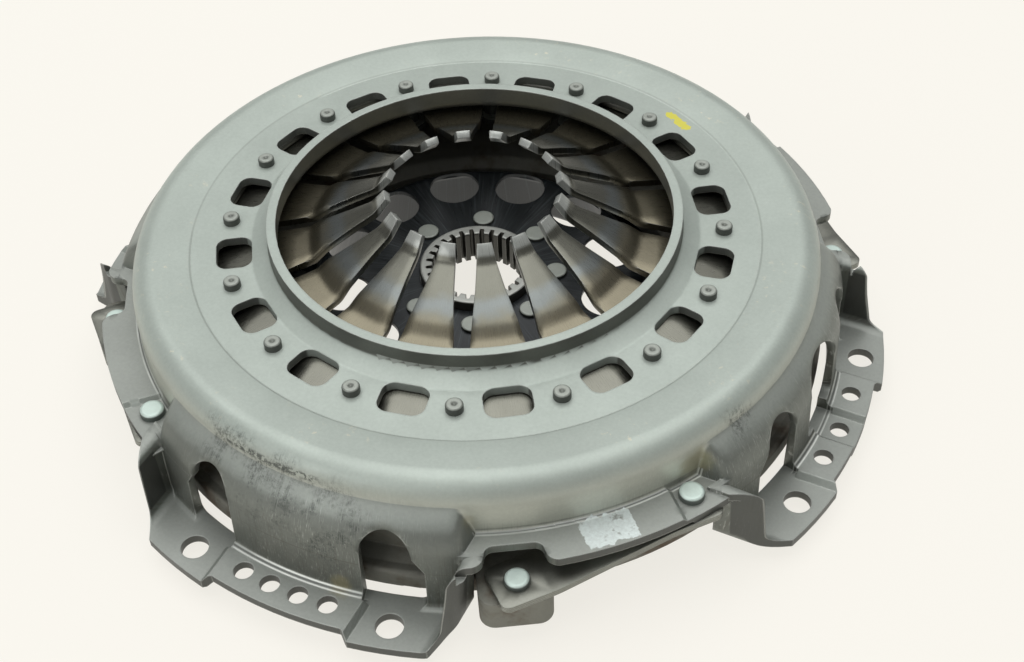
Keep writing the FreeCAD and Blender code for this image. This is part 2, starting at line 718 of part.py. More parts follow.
def strap_ends():
    """Places of the lug rivet and the cover rivet of a tower centred on +X."""
    lug = V(*polar(LUG_RIVET_RADIUS, LUG_RIVET_ANGLE), 0)
    cover = V(*polar(COVER_RIVET_RADIUS, COVER_RIVET_ANGLE), 0)
    return lug, cover


def strap_frame(shape):
    """Shape laid along +X from the lug rivet, moved to its place by a tower on +X."""
    lug, cover = strap_ends()
    shape.rotate(V(0, 0, 0), V(0, 0, 1), degrees(V(1, 0, 0).getAngle(cover - lug)))
    shape.translate(lug)
    return shape


def strap_relief():
    """Flat milled off the plate's drum so that the straps pass it."""
    lug, cover = strap_ends()
    span = lug.distanceToPoint(cover)
    start, end = -STRAP_OVERHANG - STRAP_CLEAR, span + STRAP_OVERHANG + STRAP_CLEAR
    half = STRAP_WIDTH / 2
    return strap_frame(upright([
        (start, -half - REACH, 0), (end, -half - REACH, 0), (end, half + STRAP_CLEAR, 0),
        (start, half + STRAP_CLEAR, 0),
    ], LUG_TOP, FULCRUM_TOP + 1))


def make_plate():
    back = [
        (PLATE_INNER, PLATE_FACE, 1.0),
        (PLATE_RADIUS, PLATE_FACE, 1.0),
        (PLATE_RADIUS, PLATE_RIM_TOP, 1.5),
        (PLATE_STEP_RADIUS, PLATE_RIM_TOP, 0),
        (PLATE_DRUM_RADIUS, PLATE_RIM_TOP + 2, 0),
        (PLATE_DRUM_RADIUS, PLATE_SHOULDER, 0),
        (FULCRUM_RADIUS + FULCRUM_HALF, FULCRUM_TOP, 1.4),
        (FULCRUM_RADIUS - FULCRUM_HALF, FULCRUM_TOP, 1.4),
        (FULCRUM_ROOT, PLATE_WAIST, 4.0),
        (PLATE_INNER + 4, PLATE_BACK, 3.0),
        (PLATE_INNER, PLATE_BACK - 3, 0),
    ]
    plate = revolved(back)
    half = LUG_WIDTH / 2
    lug = upright([
        (PLATE_DRUM_RADIUS - 6, -half, 0), (LUG_RADIUS, -half, LUG_ROUND),
        (LUG_RADIUS, half, LUG_ROUND), (PLATE_DRUM_RADIUS - 6, half, 0),
    ], PLATE_FACE, LUG_TOP)
    gap = upright([
        (PLATE_INNER + 20, -FULCRUM_BREAK_WIDTH / 2, 0),
        (LUG_RADIUS, -FULCRUM_BREAK_WIDTH / 2, 0),
        (LUG_RADIUS, FULCRUM_BREAK_WIDTH / 2, 0),
        (PLATE_INNER + 20, FULCRUM_BREAK_WIDTH / 2, 0),
    ], PLATE_SHOULDER, FULCRUM_TOP + 1)
    breaks = [turned(gap, i * 360 / FULCRUM_BREAKS) for i in range(FULCRUM_BREAKS)]
    plate = plate.cut(breaks + [turned(strap_relief(), angle) for angle in TOWERS])
    plate = plate.fuse([turned(lug, angle + LUG_CENTRE) for angle in TOWERS])
    cuts = []
    for angle in TOWERS:
        place = angle + LUG_RIVET_ANGLE
        cuts.append(drill(LUG_RIVET_RADIUS, place, STRAP_SHANK, PLATE_FACE, LUG_TOP + 1))
        cuts.append(drill(LUG_RIVET_RADIUS, place, LUG_COUNTERBORE, PLATE_FACE - 1,
                          PLATE_FACE + LUG_COUNTERBORE_DEPTH))
    return plate.cut(cuts).removeSplitter()


def make_leaf(index):
    """One leaf of a strap pack, counted from the top, for a tower centred on +X."""
    lug, cover = strap_ends()
    span = lug.distanceToPoint(cover)
    low, high = LUG_TOP + STRAP_STACK, STRAP_SEAT
    path = [
        (-STRAP_OVERHANG, low, 0),
        (STRAP_FLAT, low, STRAP_BEND),
        (span - STRAP_FLAT, high, STRAP_BEND),
        (span + STRAP_OVERHANG, high, 0),
    ]
    top = moved_path(path, index * LEAF)
    face = outline_face(sheet(top, LEAF), lambda u, v: V(u, -STRAP_WIDTH / 2, v))
    leaf = face.extrude(V(0, STRAP_WIDTH, 0))
    half = STRAP_WIDTH / 2
    leaf = leaf.common(upright([
        (-STRAP_OVERHANG, -half, STRAP_ROUND), (span + STRAP_OVERHANG, -half, STRAP_ROUND),
        (span + STRAP_OVERHANG, half, STRAP_ROUND), (-STRAP_OVERHANG, half, STRAP_ROUND),
    ], PLATE_FACE, LEDGE_TOP))
    for place in (0, span):
        leaf = leaf.cut(Part.makeCylinder(STRAP_SHANK / 2, REACH, V(place, 0, 0)))
    return strap_frame(leaf)


def strap_rivet(seat, head, height, foot, tail, tail_height):
    """Rivet with a head above the seat and a tail head below the foot height."""
    return revolved([
        (0, foot - tail_height, 0), (tail / 2, foot - tail_height, 0.7), (tail / 2, foot, 0),
        (STRAP_SHANK / 2, foot, 0), (STRAP_SHANK / 2, seat, 0), (head / 2, seat, 0),
        (head / 2, seat + height, 1.2), (0, seat + height, 0),
    ])


def make_lug_rivets():
    rivet = strap_rivet(LUG_TOP + STRAP_STACK, LUG_RIVET_HEAD, LUG_RIVET_HEIGHT,
                        PLATE_FACE + LUG_COUNTERBORE_DEPTH, LUG_TAIL, LUG_TAIL_HEIGHT)
    rivet.translate(strap_ends()[0])
    return Part.makeCompound([turned(rivet, angle) for angle in TOWERS])


def make_cover_rivets():
    rivet = strap_rivet(LEDGE_TOP - JOGGLE, COVER_RIVET_HEAD, COVER_RIVET_HEIGHT,
                        STRAP_SEAT - STRAP_STACK, COVER_RIVET_HEAD, COVER_TAIL_HEIGHT)
    rivet.translate(strap_ends()[1])
    return Part.makeCompound([turned(rivet, angle) for angle in TOWERS])


# Driven disc

FACING_TOP = PLATE_FACE - DISC_GAP
CUSHION_TOP = FACING_TOP - FACING_THICK
CUSHION_BOTTOM = CUSHION_TOP - CUSHION_HEIGHT
TANG_TOP = (CUSHION_TOP + CUSHION_BOTTOM + CUSHION_SHEET) / 2
RIM_TOP = TANG_TOP - CUSHION_SHEET
HUB_FLANGE_TOP = CARRIER_TOP - CARRIER_SHEET


def facing_rivet_places():
    """Radius and angle of every facing rivet."""
    places = []
    for i in range(FACING_RIVETS):
        radius = FACING_RIVET_CIRCLE if i % 2 == 0 else FACING_RIVET_CIRCLE_OUTER
        places.append((radius, (i + 0.5) * 360 / FACING_RIVETS))
    return places


def make_facing(bottom, upper):
    """Friction ring with a stepped hole for each rivet."""
    top = bottom + FACING_THICK
    body = ring(FACING_INNER, FACING_OUTER, bottom, top)
    cuts = []
    for radius, angle in facing_rivet_places():
        cuts.append(drill(radius, angle, FACING_RIVET_SHANK, bottom - 1, top + 1))
        if upper:
            cuts.append(drill(radius, angle, FACING_COUNTERBORE, top - FACING_COUNTERBORE_DEPTH, top + 1))
        else:
            cuts.append(drill(radius, angle, FACING_COUNTERBORE, bottom - 1,
                              bottom + FACING_COUNTERBORE_DEPTH))
    return body.cut(cuts)


def make_facing_rivets():
    """Tubular rivets through both facings and the cushion segments."""
    upper_seat = FACING_TOP - FACING_COUNTERBORE_DEPTH
    lower_seat = CUSHION_BOTTOM - FACING_THICK + FACING_COUNTERBORE_DEPTH
    rivet = revolved([
        (0, lower_seat - FACING_RIVET_HEIGHT, 0),
        (FACING_RIVET_HEAD / 2, lower_seat - FACING_RIVET_HEIGHT, 0),
        (FACING_RIVET_HEAD / 2, lower_seat, 0),
        (FACING_RIVET_SHANK / 2, lower_seat, 0),
        (FACING_RIVET_SHANK / 2, upper_seat, 0),
        (FACING_RIVET_HEAD / 2, upper_seat, 0),
        (FACING_RIVET_HEAD / 2, upper_seat + FACING_RIVET_HEIGHT, 0),
        (0, upper_seat + FACING_RIVET_HEIGHT, 0),
    ])
    rivets = []
    for radius, angle in facing_rivet_places():
        copy = rivet.copy()
        copy.translate(V(radius, 0, 0))
        rivets.append(turned(copy, angle))
    return Part.makeCompound(rivets)


def make_cushion(index):
    """Waved spring segment that holds the facings apart."""
    high, low = CUSHION_TOP, CUSHION_BOTTOM + CUSHION_SHEET
    body = revolved(sheet([
        (CUSHION_INNER, TANG_TOP, 0), (CARRIER_OUTER, TANG_TOP, 3.0),
        (FACING_INNER + 5, high, 3.0), (FACING_INNER + 14, high, 3.0),
        (FACING_INNER + 22, low, 3.0), (FACING_OUTER - 5, low, 3.0),
        (CUSHION_OUTER, (high + low) / 2, 0),
    ], CUSHION_SHEET), CUSHION_ANGLE)
    body = turned(body, -CUSHION_ANGLE / 2)
    holes = []
    for side in (-1, 1):
        holes.append(drill(SEGMENT_RIVET_CIRCLE, side * SEGMENT_RIVET_ANGLE, SEGMENT_RIVET_SHANK,
                           RIM_TOP - 1, CUSHION_TOP + 1))
    pitch = 360 / FACING_RIVETS
    holes.append(drill(FACING_RIVET_CIRCLE, -pitch / 2, FACING_RIVET_SHANK, RIM_TOP - 2, CUSHION_TOP + 1))
    holes.append(drill(FACING_RIVET_CIRCLE_OUTER, pitch / 2, FACING_RIVET_SHANK, RIM_TOP - 2,
                       CUSHION_TOP + 1))
    return turned(body.cut(holes), (index + 0.5) * 360 / CUSHIONS)


def segment_rivet_angles():
    angles = []
    for i in range(CUSHIONS):
        for side in (-1, 1):
            angles.append((i + 0.5) * 360 / CUSHIONS + side * SEGMENT_RIVET_ANGLE)
    return angles


def make_segment_rivets():
    bottom = RIM_TOP - CARRIER_SHEET
    rivet = revolved([
        (0, bottom - SEGMENT_RIVET_HEIGHT, 0),
        (SEGMENT_RIVET_HEAD / 2, bottom - SEGMENT_RIVET_HEIGHT, 0.5),
        (SEGMENT_RIVET_HEAD / 2, bottom, 0),
        (SEGMENT_RIVET_SHANK / 2, bottom, 0),
        (SEGMENT_RIVET_SHANK / 2, TANG_TOP, 0),
        (SEGMENT_RIVET_HEAD / 2, TANG_TOP, 0),
        (SEGMENT_RIVET_HEAD / 2, TANG_TOP + SEGMENT_RIVET_HEIGHT, 0.5),
        (0, TANG_TOP + SEGMENT_RIVET_HEIGHT, 0),
    ])
    rivet.translate(V(SEGMENT_RIVET_CIRCLE, 0, 0))
    return Part.makeCompound([turned(rivet, angle) for angle in segment_rivet_angles()])


def make_carrier():
    """Dished carrier plate with round windows between hub and facings."""
    body = revolved(sheet([
        (CARRIER_BORE, CARRIER_TOP, 0),
        (CARRIER_FLAT, CARRIER_TOP, CARRIER_BEND + CARRIER_SHEET),
        (CARRIER_CONE, RIM_TOP, CARRIER_BEND),
        (CARRIER_OUTER, RIM_TOP, 0),
    ], CARRIER_SHEET))
    cuts = []
    for i in range(CARRIER_WINDOWS):
        angle = CARRIER_WINDOW_START + i * 360 / CARRIER_WINDOWS
        cuts.append(drill(CARRIER_WINDOW_CIRCLE, angle, CARRIER_WINDOW, HUB_FLANGE_TOP - 1, CARRIER_TOP + 1))
    for i in range(HUB_RIVETS):
        angle = HUB_RIVET_START + i * 360 / HUB_RIVETS
        cuts.append(drill(HUB_RIVET_CIRCLE, angle, HUB_RIVET_SHANK, HUB_FLANGE_TOP - 1, CARRIER_TOP + 1))
    for angle in segment_rivet_angles():
        cuts.append(drill(SEGMENT_RIVET_CIRCLE, angle, SEGMENT_RIVET_SHANK,
                          RIM_TOP - CARRIER_SHEET - 1, RIM_TOP + 1))
    return body.cut(cuts)


def make_hub():
    """Splined hub with the flange that the carrier is riveted to."""
    bottom = HUB_FLANGE_TOP - HUB_FLANGE_THICK
    body = revolved([
        (SPLINE_TIP, HUB_BOTTOM, 0.8), (HUB_BOSS, HUB_BOTTOM, 0.8), (HUB_BOSS, bottom, 0),
        (HUB_FLANGE, bottom, 0.6), (HUB_FLANGE, HUB_FLANGE_TOP, 0),
        (HUB_COLLAR, HUB_FLANGE_TOP, 0), (HUB_COLLAR, HUB_TOP, 0.8), (SPLINE_TIP, HUB_TOP, 0.8),
    ])
    pitch = 360 / SPLINE_TEETH
    groove = upright([
        (*polar(SPLINE_TIP - 1, -pitch * 0.30), 0), (*polar(SPLINE_ROOT, -pitch * 0.17), 0.5),
        (*polar(SPLINE_ROOT, pitch * 0.17), 0.5), (*polar(SPLINE_TIP - 1, pitch * 0.30), 0),
    ], HUB_BOTTOM - 1, HUB_TOP + 1)
    cuts = [turned(groove, i * pitch) for i in range(SPLINE_TEETH)]
    for i in range(HUB_RIVETS):
        angle = HUB_RIVET_START + i * 360 / HUB_RIVETS
        cuts.append(drill(HUB_RIVET_CIRCLE, angle, HUB_RIVET_SHANK, bottom - 1, HUB_TOP))
    return body.cut(cuts)


def make_hub_rivets():
    bottom = HUB_FLANGE_TOP - HUB_FLANGE_THICK
    rivet = revolved([
        (0, bottom - HUB_RIVET_HEIGHT, 0),
        (HUB_RIVET_HEAD / 2, bottom - HUB_RIVET_HEIGHT, 0.7),
        (HUB_RIVET_HEAD / 2, bottom, 0),
        (HUB_RIVET_SHANK / 2, bottom, 0),
        (HUB_RIVET_SHANK / 2, CARRIER_TOP, 0),
        (HUB_RIVET_HEAD / 2, CARRIER_TOP, 0),
        (HUB_RIVET_HEAD / 2, CARRIER_TOP + HUB_RIVET_HEIGHT, 0.7),
        (0, CARRIER_TOP + HUB_RIVET_HEIGHT, 0),
    ])
    rivet.translate(V(HUB_RIVET_CIRCLE, 0, 0))
    pitch = 360 / HUB_RIVETS
    return Part.makeCompound([turned(rivet, HUB_RIVET_START + i * pitch) for i in range(HUB_RIVETS)])


def make_parts():
    parts = {
        "cover": make_cover(),
        "pivot_rivets": make_pivot_rivets(),
        "upper_pivot_ring": pivot_ring(RING_CENTRE),
        "lower_pivot_ring": pivot_ring(LOWER_RING_CENTRE),
        "diaphragm_spring": make_spring(),
        "pressure_plate": make_plate(),
        "lug_strap_rivets": make_lug_rivets(),
        "cover_strap_rivets": make_cover_rivets(),
        "disc_hub": make_hub(),
        "disc_carrier": make_carrier(),
        "hub_rivets": make_hub_rivets(),
        "upper_facing": make_facing(CUSHION_TOP, True),
        "lower_facing": make_facing(CUSHION_BOTTOM - FACING_THICK, False),
        "facing_rivets": make_facing_rivets(),
        "segment_rivets": make_segment_rivets(),
    }
    for index, layer in enumerate(("top", "middle", "bottom")):
        leaf = make_leaf(index)
        for number, angle in enumerate(TOWERS, 1):
            parts[f"strap_{number}_{layer}"] = turned(leaf, angle)
    for index in range(CUSHIONS):
        parts[f"cushion_{index + 1:02d}"] = make_cushion(index)
    return parts


def main():
    os.makedirs("parts", exist_ok=True)
    for name, shape in make_parts().items():
        if not shape.isValid():
            print("not valid:", name)
        print(name, len(shape.Solids), round(shape.Volume))
        shape.exportStep(f"parts/{name}.step")


main()
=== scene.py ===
"""Diaphragm clutch: finishes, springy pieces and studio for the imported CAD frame."""

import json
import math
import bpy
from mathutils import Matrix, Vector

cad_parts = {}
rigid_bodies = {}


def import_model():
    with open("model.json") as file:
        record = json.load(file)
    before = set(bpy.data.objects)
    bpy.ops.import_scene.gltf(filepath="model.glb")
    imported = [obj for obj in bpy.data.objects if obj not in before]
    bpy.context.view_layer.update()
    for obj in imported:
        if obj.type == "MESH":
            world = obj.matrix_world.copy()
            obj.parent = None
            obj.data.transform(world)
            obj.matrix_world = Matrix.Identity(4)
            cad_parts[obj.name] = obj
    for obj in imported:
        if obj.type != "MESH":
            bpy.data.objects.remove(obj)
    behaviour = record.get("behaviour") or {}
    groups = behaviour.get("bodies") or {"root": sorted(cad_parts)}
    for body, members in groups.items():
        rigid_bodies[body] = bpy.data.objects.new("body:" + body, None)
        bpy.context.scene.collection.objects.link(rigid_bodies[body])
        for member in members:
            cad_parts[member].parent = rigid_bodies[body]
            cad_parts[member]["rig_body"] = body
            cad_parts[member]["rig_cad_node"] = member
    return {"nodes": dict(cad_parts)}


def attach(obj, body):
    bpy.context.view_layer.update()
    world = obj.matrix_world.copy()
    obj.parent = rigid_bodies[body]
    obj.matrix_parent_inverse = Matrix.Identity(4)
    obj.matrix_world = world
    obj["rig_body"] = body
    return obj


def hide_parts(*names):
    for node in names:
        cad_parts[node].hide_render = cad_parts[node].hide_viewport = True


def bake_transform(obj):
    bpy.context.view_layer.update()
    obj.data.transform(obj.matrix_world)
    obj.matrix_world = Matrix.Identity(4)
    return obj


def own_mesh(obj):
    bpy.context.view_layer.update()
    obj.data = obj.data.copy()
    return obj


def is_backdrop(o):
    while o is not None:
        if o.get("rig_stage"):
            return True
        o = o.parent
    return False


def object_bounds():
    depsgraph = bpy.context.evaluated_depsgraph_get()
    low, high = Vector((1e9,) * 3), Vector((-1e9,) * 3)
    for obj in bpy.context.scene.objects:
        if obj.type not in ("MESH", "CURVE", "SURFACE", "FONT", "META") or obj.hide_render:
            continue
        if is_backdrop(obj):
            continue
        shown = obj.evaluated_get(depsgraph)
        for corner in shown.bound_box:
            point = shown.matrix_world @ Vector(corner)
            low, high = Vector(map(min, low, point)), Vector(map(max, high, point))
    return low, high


bl_info = {
    "name": "Diaphragm clutch finish",
    "version": (1, 0, 0),
    "blender": (4, 5, 0),
    "location": "3D View > Sidebar > Clutch",
    "description": "Gives the clutch its metals, its bending springs and a plain studio",
    "category": "Object",
}

import bpy
from bpy.props import FloatProperty, FloatVectorProperty, PointerProperty
from mathutils import Quaternion, Vector

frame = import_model()

# Bodies of the frame, and how often its pieces repeat. Lengths are in metres, angles in degrees.
COVER = "cover"
TOWERS = 4
FEET = 4
QUARTER = 90
LAYERS = ("top", "middle", "bottom")
CUSHIONS = 12
PIVOTS = 16
PIVOT_CIRCLE = 0.0860

# Foot walls of the cover, and how far they stand out of the slanting sheet above them.
WALL_RADIUS = 0.1293
WALL_ROOT = 0.0110
WALL_TOP = 0.0281
WALL_STEP = 0.0009
WALL_REACH = 0.00015
LEAN_MARGIN = 0.00005

# Ends of the ledges that run on past each foot's wall, inside and outside it: inner and outer
# radius, lower and upper height, start from the middle of the foot, sweep.
LEDGE_ENDS = (
    (0.1193, 0.12595, 0.0232, 0.0250, -24.4, 15.4),
    (0.129305, 0.1326, 0.0233, 0.0240, -25.3, 13.3),
)
SECTOR_STEPS = 12

# Distances within which the points of a copied mesh are joined.
WELD = 0.000002
TOOL_WELD = 0.000001
LEAN_WELD = 0.00003

# Soft edges of the copies.
SPRING_BEVEL = 0.0003
STRAP_BEVEL = 0.00012
BEVEL_ANGLE = 40
SMOOTH_ANGLE = 35
COVER_SMOOTH_ANGLE = 32

# Zones of the cover's finish that fade in from the first value to the second.
CROWN_TO_WALL = (0.0470, 0.0370)
TOWER_OUTSIDE = (0.1205, 0.1195)
TOWER_INSIDE = (0.1160, 0.1175)
COLLAR_INSIDE = (0.0736, 0.0728)
HAUNCH_START = (0.104, 0.108)
PAD_EDGE = (0.1316, 0.1322)
SHOULDER_START = (0.038, 0.044)
FOOT_BRONZE = (0.029, 0.008)
STREAK_TOP = (0.036, 0.022)
ROOT_HALF_WIDTH = (0.0255, 0.0245)
SCUFF_TOP = (0.0480, 0.0450)
SCRAPE_Y = (-0.100, -0.105)

# Bands of the cover's finish: low and high end, softness.
HAUNCH_HEIGHTS = (0.0335, 0.0460, 0.001)
LEAN_HEIGHTS = (0.0250, 0.0310, 0.001)
LEAN_RADII = (0.1270, 0.1300, 0.0004)
VENT_HEIGHTS = (0.0425, 0.0463, 0.0001)
VENT_RADII = (0.0795, 0.0915, 0.0004)
LAND_LINE = (0.0988, 0.0993, 0.0002)
SHOULDER_RADII = (0.100, 0.116, 0.003)
DRAW_LINE = (0.0190, 0.0193, 0.0001)
SCRAPE_HEIGHTS = (0.0412, 0.0434, 0.0005)
SCRAPE_X = (-0.030, 0.007, 0.003)
ROOT_HEIGHTS = (0.0030, 0.0110, 0.0003)
CREASE_HEIGHTS = (0.0264, 0.0298, 0.0002)

# Bands of radius that draw lines along the bends: bright ones, partly rubbed and partly painted
# highlight, and dark ones, painted shade in the bends.
ROOT_BRIGHT = ((0.1297, 0.1301, 0.00015), (0.1309, 0.1314, 0.00015))
ROOT_SHADE = ((0.1302, 0.1307, 0.00015),)
CREASE_BRIGHT = ((0.1196, 0.1199, 0.00012), (0.1204, 0.1209, 0.00012))
CREASE_SHADE = ((0.1200, 0.1203, 0.00012), (0.1188, 0.1194, 0.00015))

# Soft marks on the cover: centre, size, raggedness.
SCUFFS = (
    ((-0.0250, -0.1150, 0.0410), 0.017, 0.012),
    ((-0.0100, -0.1200, 0.0350), 0.020, 0.014),
    ((0.0120, -0.1240, 0.0290), 0.022, 0.014),
    ((0.1095, -0.0420, 0.0385), 0.010, 0.010),
)
STAINS = (
    ((0.1035, -0.0575, 0.0330), 0.008, 0.005),
    ((0.0475, -0.1050, 0.0320), 0.008, 0.005),
    ((0.0165, -0.1290, 0.0080), 0.005, 0.004),
)

# Dabs of paint: centre, turn, half length, half width, raggedness.
WHITE_DAB = ((0.0891, -0.0889, 0.0281), math.radians(45), 0.0084, 0.0056, 0.004)
YELLOW_DAB = ((0.0422, 0.0848, 0.0462), math.radians(-60), 0.0062, 0.0019, 0.0045)
DAB_FADE = 0.0004
DAB_DEPTH = (0.004, 0.003)

# Zones and bands of the spring's finish, by radius.
FINGER_TO_WARM_HIGHLIGHT = (0.050, 0.056)
ROOT_START = (0.070, 0.074)
TIP_START = (0.0338, 0.0326)
BLUE_BELT = (0.0455, 0.0505, 0.002)
CRANK = (0.0515, 0.0595, 0.001)
BAND_WAVE = 0.010

# Marks in the head of a pivot rivet, by the distance from its middle.
DIMPLE = (0.0011, 0.0007)
HEAD_RING = (0.0024, 0.0027, 0.0002)

# Rounding of sharp edges in the finishes.
EDGE = 0.0004
CARRIER_EDGE = 0.0005
COVER_EDGE = 0.0007
IRON_EDGE = 0.0008
BEND_EDGE = 0.0026
EDGE_SAMPLES = 4
EDGE_FACING = (0.995, 0.86)

# Depth of the grain, fine and coarse, and the part of a noise that carries its contrast.
FINE_GRAIN = 0.0001
COARSE_GRAIN = 0.0002
NOISE_LOW = 0.25
NOISE_HIGH = 0.75

# Studio.
FLOOR_SIZE = 12
LAMP_TARGET = (0, 0, 0.03)
OVERHEAD_PLACE = (-0.2, 0.35, 1.7)
OVERHEAD_SIZE = 2.2
FRONT_PLACE = (-0.5, -1.6, 0.9)
FRONT_SIZE = 1.0
SENSOR_WIDTH = 36
CLIP_START = 0.01


def tone(red, green, blue):
    """Colour for a shader socket from screen values of 0 to 255."""
    values = [v / 255 for v in (red, green, blue)]
    return tuple(v / 12.92 if v < 0.04045 else ((v + 0.055) / 1.055) ** 2.4 for v in values)


WORN_STEEL = tone(225, 228, 222)
WORN_SPRING = tone(205, 207, 200)
WORN_IRON = tone(190, 190, 182)
WORN_HUB = tone(214, 216, 208)


def colour_setting(name, description, red, green, blue):
    return FloatVectorProperty(name=name, description=description, subtype="COLOR", size=3,
                               min=0, max=1, default=tone(red, green, blue))


def length_setting(name, description, default):
    return FloatProperty(name=name, description=description, subtype="DISTANCE", unit="LENGTH",
                         default=default, precision=4)


def angle_setting(name, description, degrees):
    return FloatProperty(name=name, description=description, subtype="ANGLE", unit="ROTATION",
                         default=math.radians(degrees))


class ClutchSteel(bpy.types.PropertyGroup):
    """Colours of the steel pieces."""

    # Crown, wall, tower wall and flange are the one pressed steel in lit and shaded tones: painted light
    # on the crown and, lighter still, on the wall between the feet, painted shade on the feet's walls,
    # and a middle tone on the flat ledges and feet.
    crown: colour_setting("Crown", "Pressed steel of the top of the cover", 174, 183, 175)
    wall: colour_setting("Wall", "Drawn steel of the feet's walls", 122, 126, 120)
    tower: colour_setting("Tower wall", "Drawn steel of the wall between the feet", 196, 199, 188)
    flange: colour_setting("Flange", "Steel of the ledges and the feet", 150, 154, 148)
    # Painted shade on the inner faces of the rim round the fingers.
    collar_shade: colour_setting("Collar", "Inner rim round the fingers", 98, 98, 92)
    # This colour also paints dark lines along the bends, which are painted shade.
    cut_edge_and_shade: colour_setting("Cut edge", "Sheared edges of the sheet", 80, 81, 78)
    draw_mark: colour_setting("Draw marks", "Bronze streaks low on the wall", 92, 87, 76)
    smudge: colour_setting("Smudge", "Dark scuffs on the feet's walls", 66, 70, 67)
    stain: colour_setting("Stain", "Olive stain in the corners", 158, 152, 118)
    fleck: colour_setting("Flecks", "Warm flecks on the shoulder", 222, 214, 188)
    # Partly rubbed steel and partly painted highlight: this colour lightens the edges and the bright
    # lines along the bends, and also the fine light streaks on the walls.
    polish_and_highlight: colour_setting("Polish", "Rubbed lines along the bends", 236, 239, 232)
    paint_white: colour_setting("White paint", "Inspection paint on one ledge", 222, 232, 230)
    paint_yellow: colour_setting("Yellow paint", "Inspection paint beside one rivet", 220, 212, 70)
    rivet: colour_setting("Rivets", "Zinc coated heads", 206, 222, 214)
    pivot: colour_setting("Pivot rivets", "Heads of the rivets round the land", 160, 165, 157)
    # Painted shade on the rivets' sides; the same colour also darkens the dimples and rings in the pivot
    # heads.
    rivet_side: colour_setting("Rivet sides", "Sides and dimples of the rivets", 52, 54, 51)
    ring: colour_setting("Pivot rings", "Bare spring wire", 130, 130, 124)
    strap: colour_setting("Straps", "Spring steel of the leaf straps", 130, 131, 123)


class ClutchSpring(bpy.types.PropertyGroup):
    """Colours of the diaphragm spring."""

    finger: colour_setting("Fingers", "Ground spring steel", 113, 113, 104)
    # Painted highlight: the warm golden sheen on the outer part of the fingers.
    warm_highlight: colour_setting("Straw tint", "Warm temper tint behind the crank", 119, 114, 98)
    blue: colour_setting("Blue tint", "Cold temper tint near the tips", 122, 131, 136)
    tip: colour_setting("Tips", "Worn contact tips", 168, 171, 166)
    root: colour_setting("Root", "Outer part under the land", 120, 120, 111)


class ClutchDisc(bpy.types.PropertyGroup):
    """Colours of the plate and the friction disc."""

    iron: colour_setting("Iron", "Cast iron of the pressure plate", 131, 131, 122)
    rust: colour_setting("Stain", "Brown stain on the casting", 96, 82, 66)
    carrier: colour_setting("Carrier", "Black coating of the disc's carrier", 34, 38, 40)
    # Painted reflection: paler streaks along the radius on the black coating; the same colour also
    # lightens its edges.
    sheen: colour_setting("Carrier scuffs", "Paler scuffs on the black coating", 84, 92, 94)
    hub: colour_setting("Hub", "Machined end of the hub", 170, 172, 166)
    # Painted shade on the hub's side faces, the spline walls among them.
    spline: colour_setting("Spline", "Walls of the hub's spline", 84, 83, 78)
    facing: colour_setting("Facing", "Friction facing", 150, 144, 128)
    brass: colour_setting("Facing rivets", "Brass rivets in the facings", 176, 150, 100)
    cushion: colour_setting("Cushions", "Thin steel between the facings", 112, 112, 110)


class ClutchStudio(bpy.types.PropertyGroup):
    """Camera, lamps and backdrop."""

    camera_x: length_setting("Camera X", "Place of the camera along X", 0.19044)
    camera_y: length_setting("Camera Y", "Place of the camera along Y", -0.34376)
    camera_z: length_setting("Camera Z", "Height of the camera", 0.38591)
    turn: angle_setting("Turn", "Direction of the view round Z", 27.334)
    tilt: angle_setting("Tilt", "Direction of the view below the horizon", 44.945)
    roll: angle_setting("Roll", "Lean of the camera", -2.1585)
    lens: FloatProperty(name="Lens", description="Focal length of the camera", subtype="DISTANCE_CAMERA",
                        default=52.236)
    backdrop: colour_setting("Backdrop", "Floor and background", 250, 247, 239)
    floor_glow: FloatProperty(name="Floor glow", description="Share of the floor that is white by itself",
                              subtype="FACTOR", default=0.84, min=0, max=1)
    horizon: FloatProperty(name="Horizon", description="Strength of the light from low down",
                           default=0.40, min=0)
    middle: FloatProperty(name="Middle", description="Strength of the light from half way up",
                          default=0.22, min=0)
    zenith: FloatProperty(name="Zenith", description="Strength of the light from above",
                          default=0.60, min=0)
    overhead: FloatProperty(name="Overhead lamp", description="Power of the wide lamp above",
                            subtype="POWER", default=26.0, min=0)
    front: FloatProperty(name="Front lamp", description="Power of the soft lamp in front",
                         subtype="POWER", default=7.0, min=0)


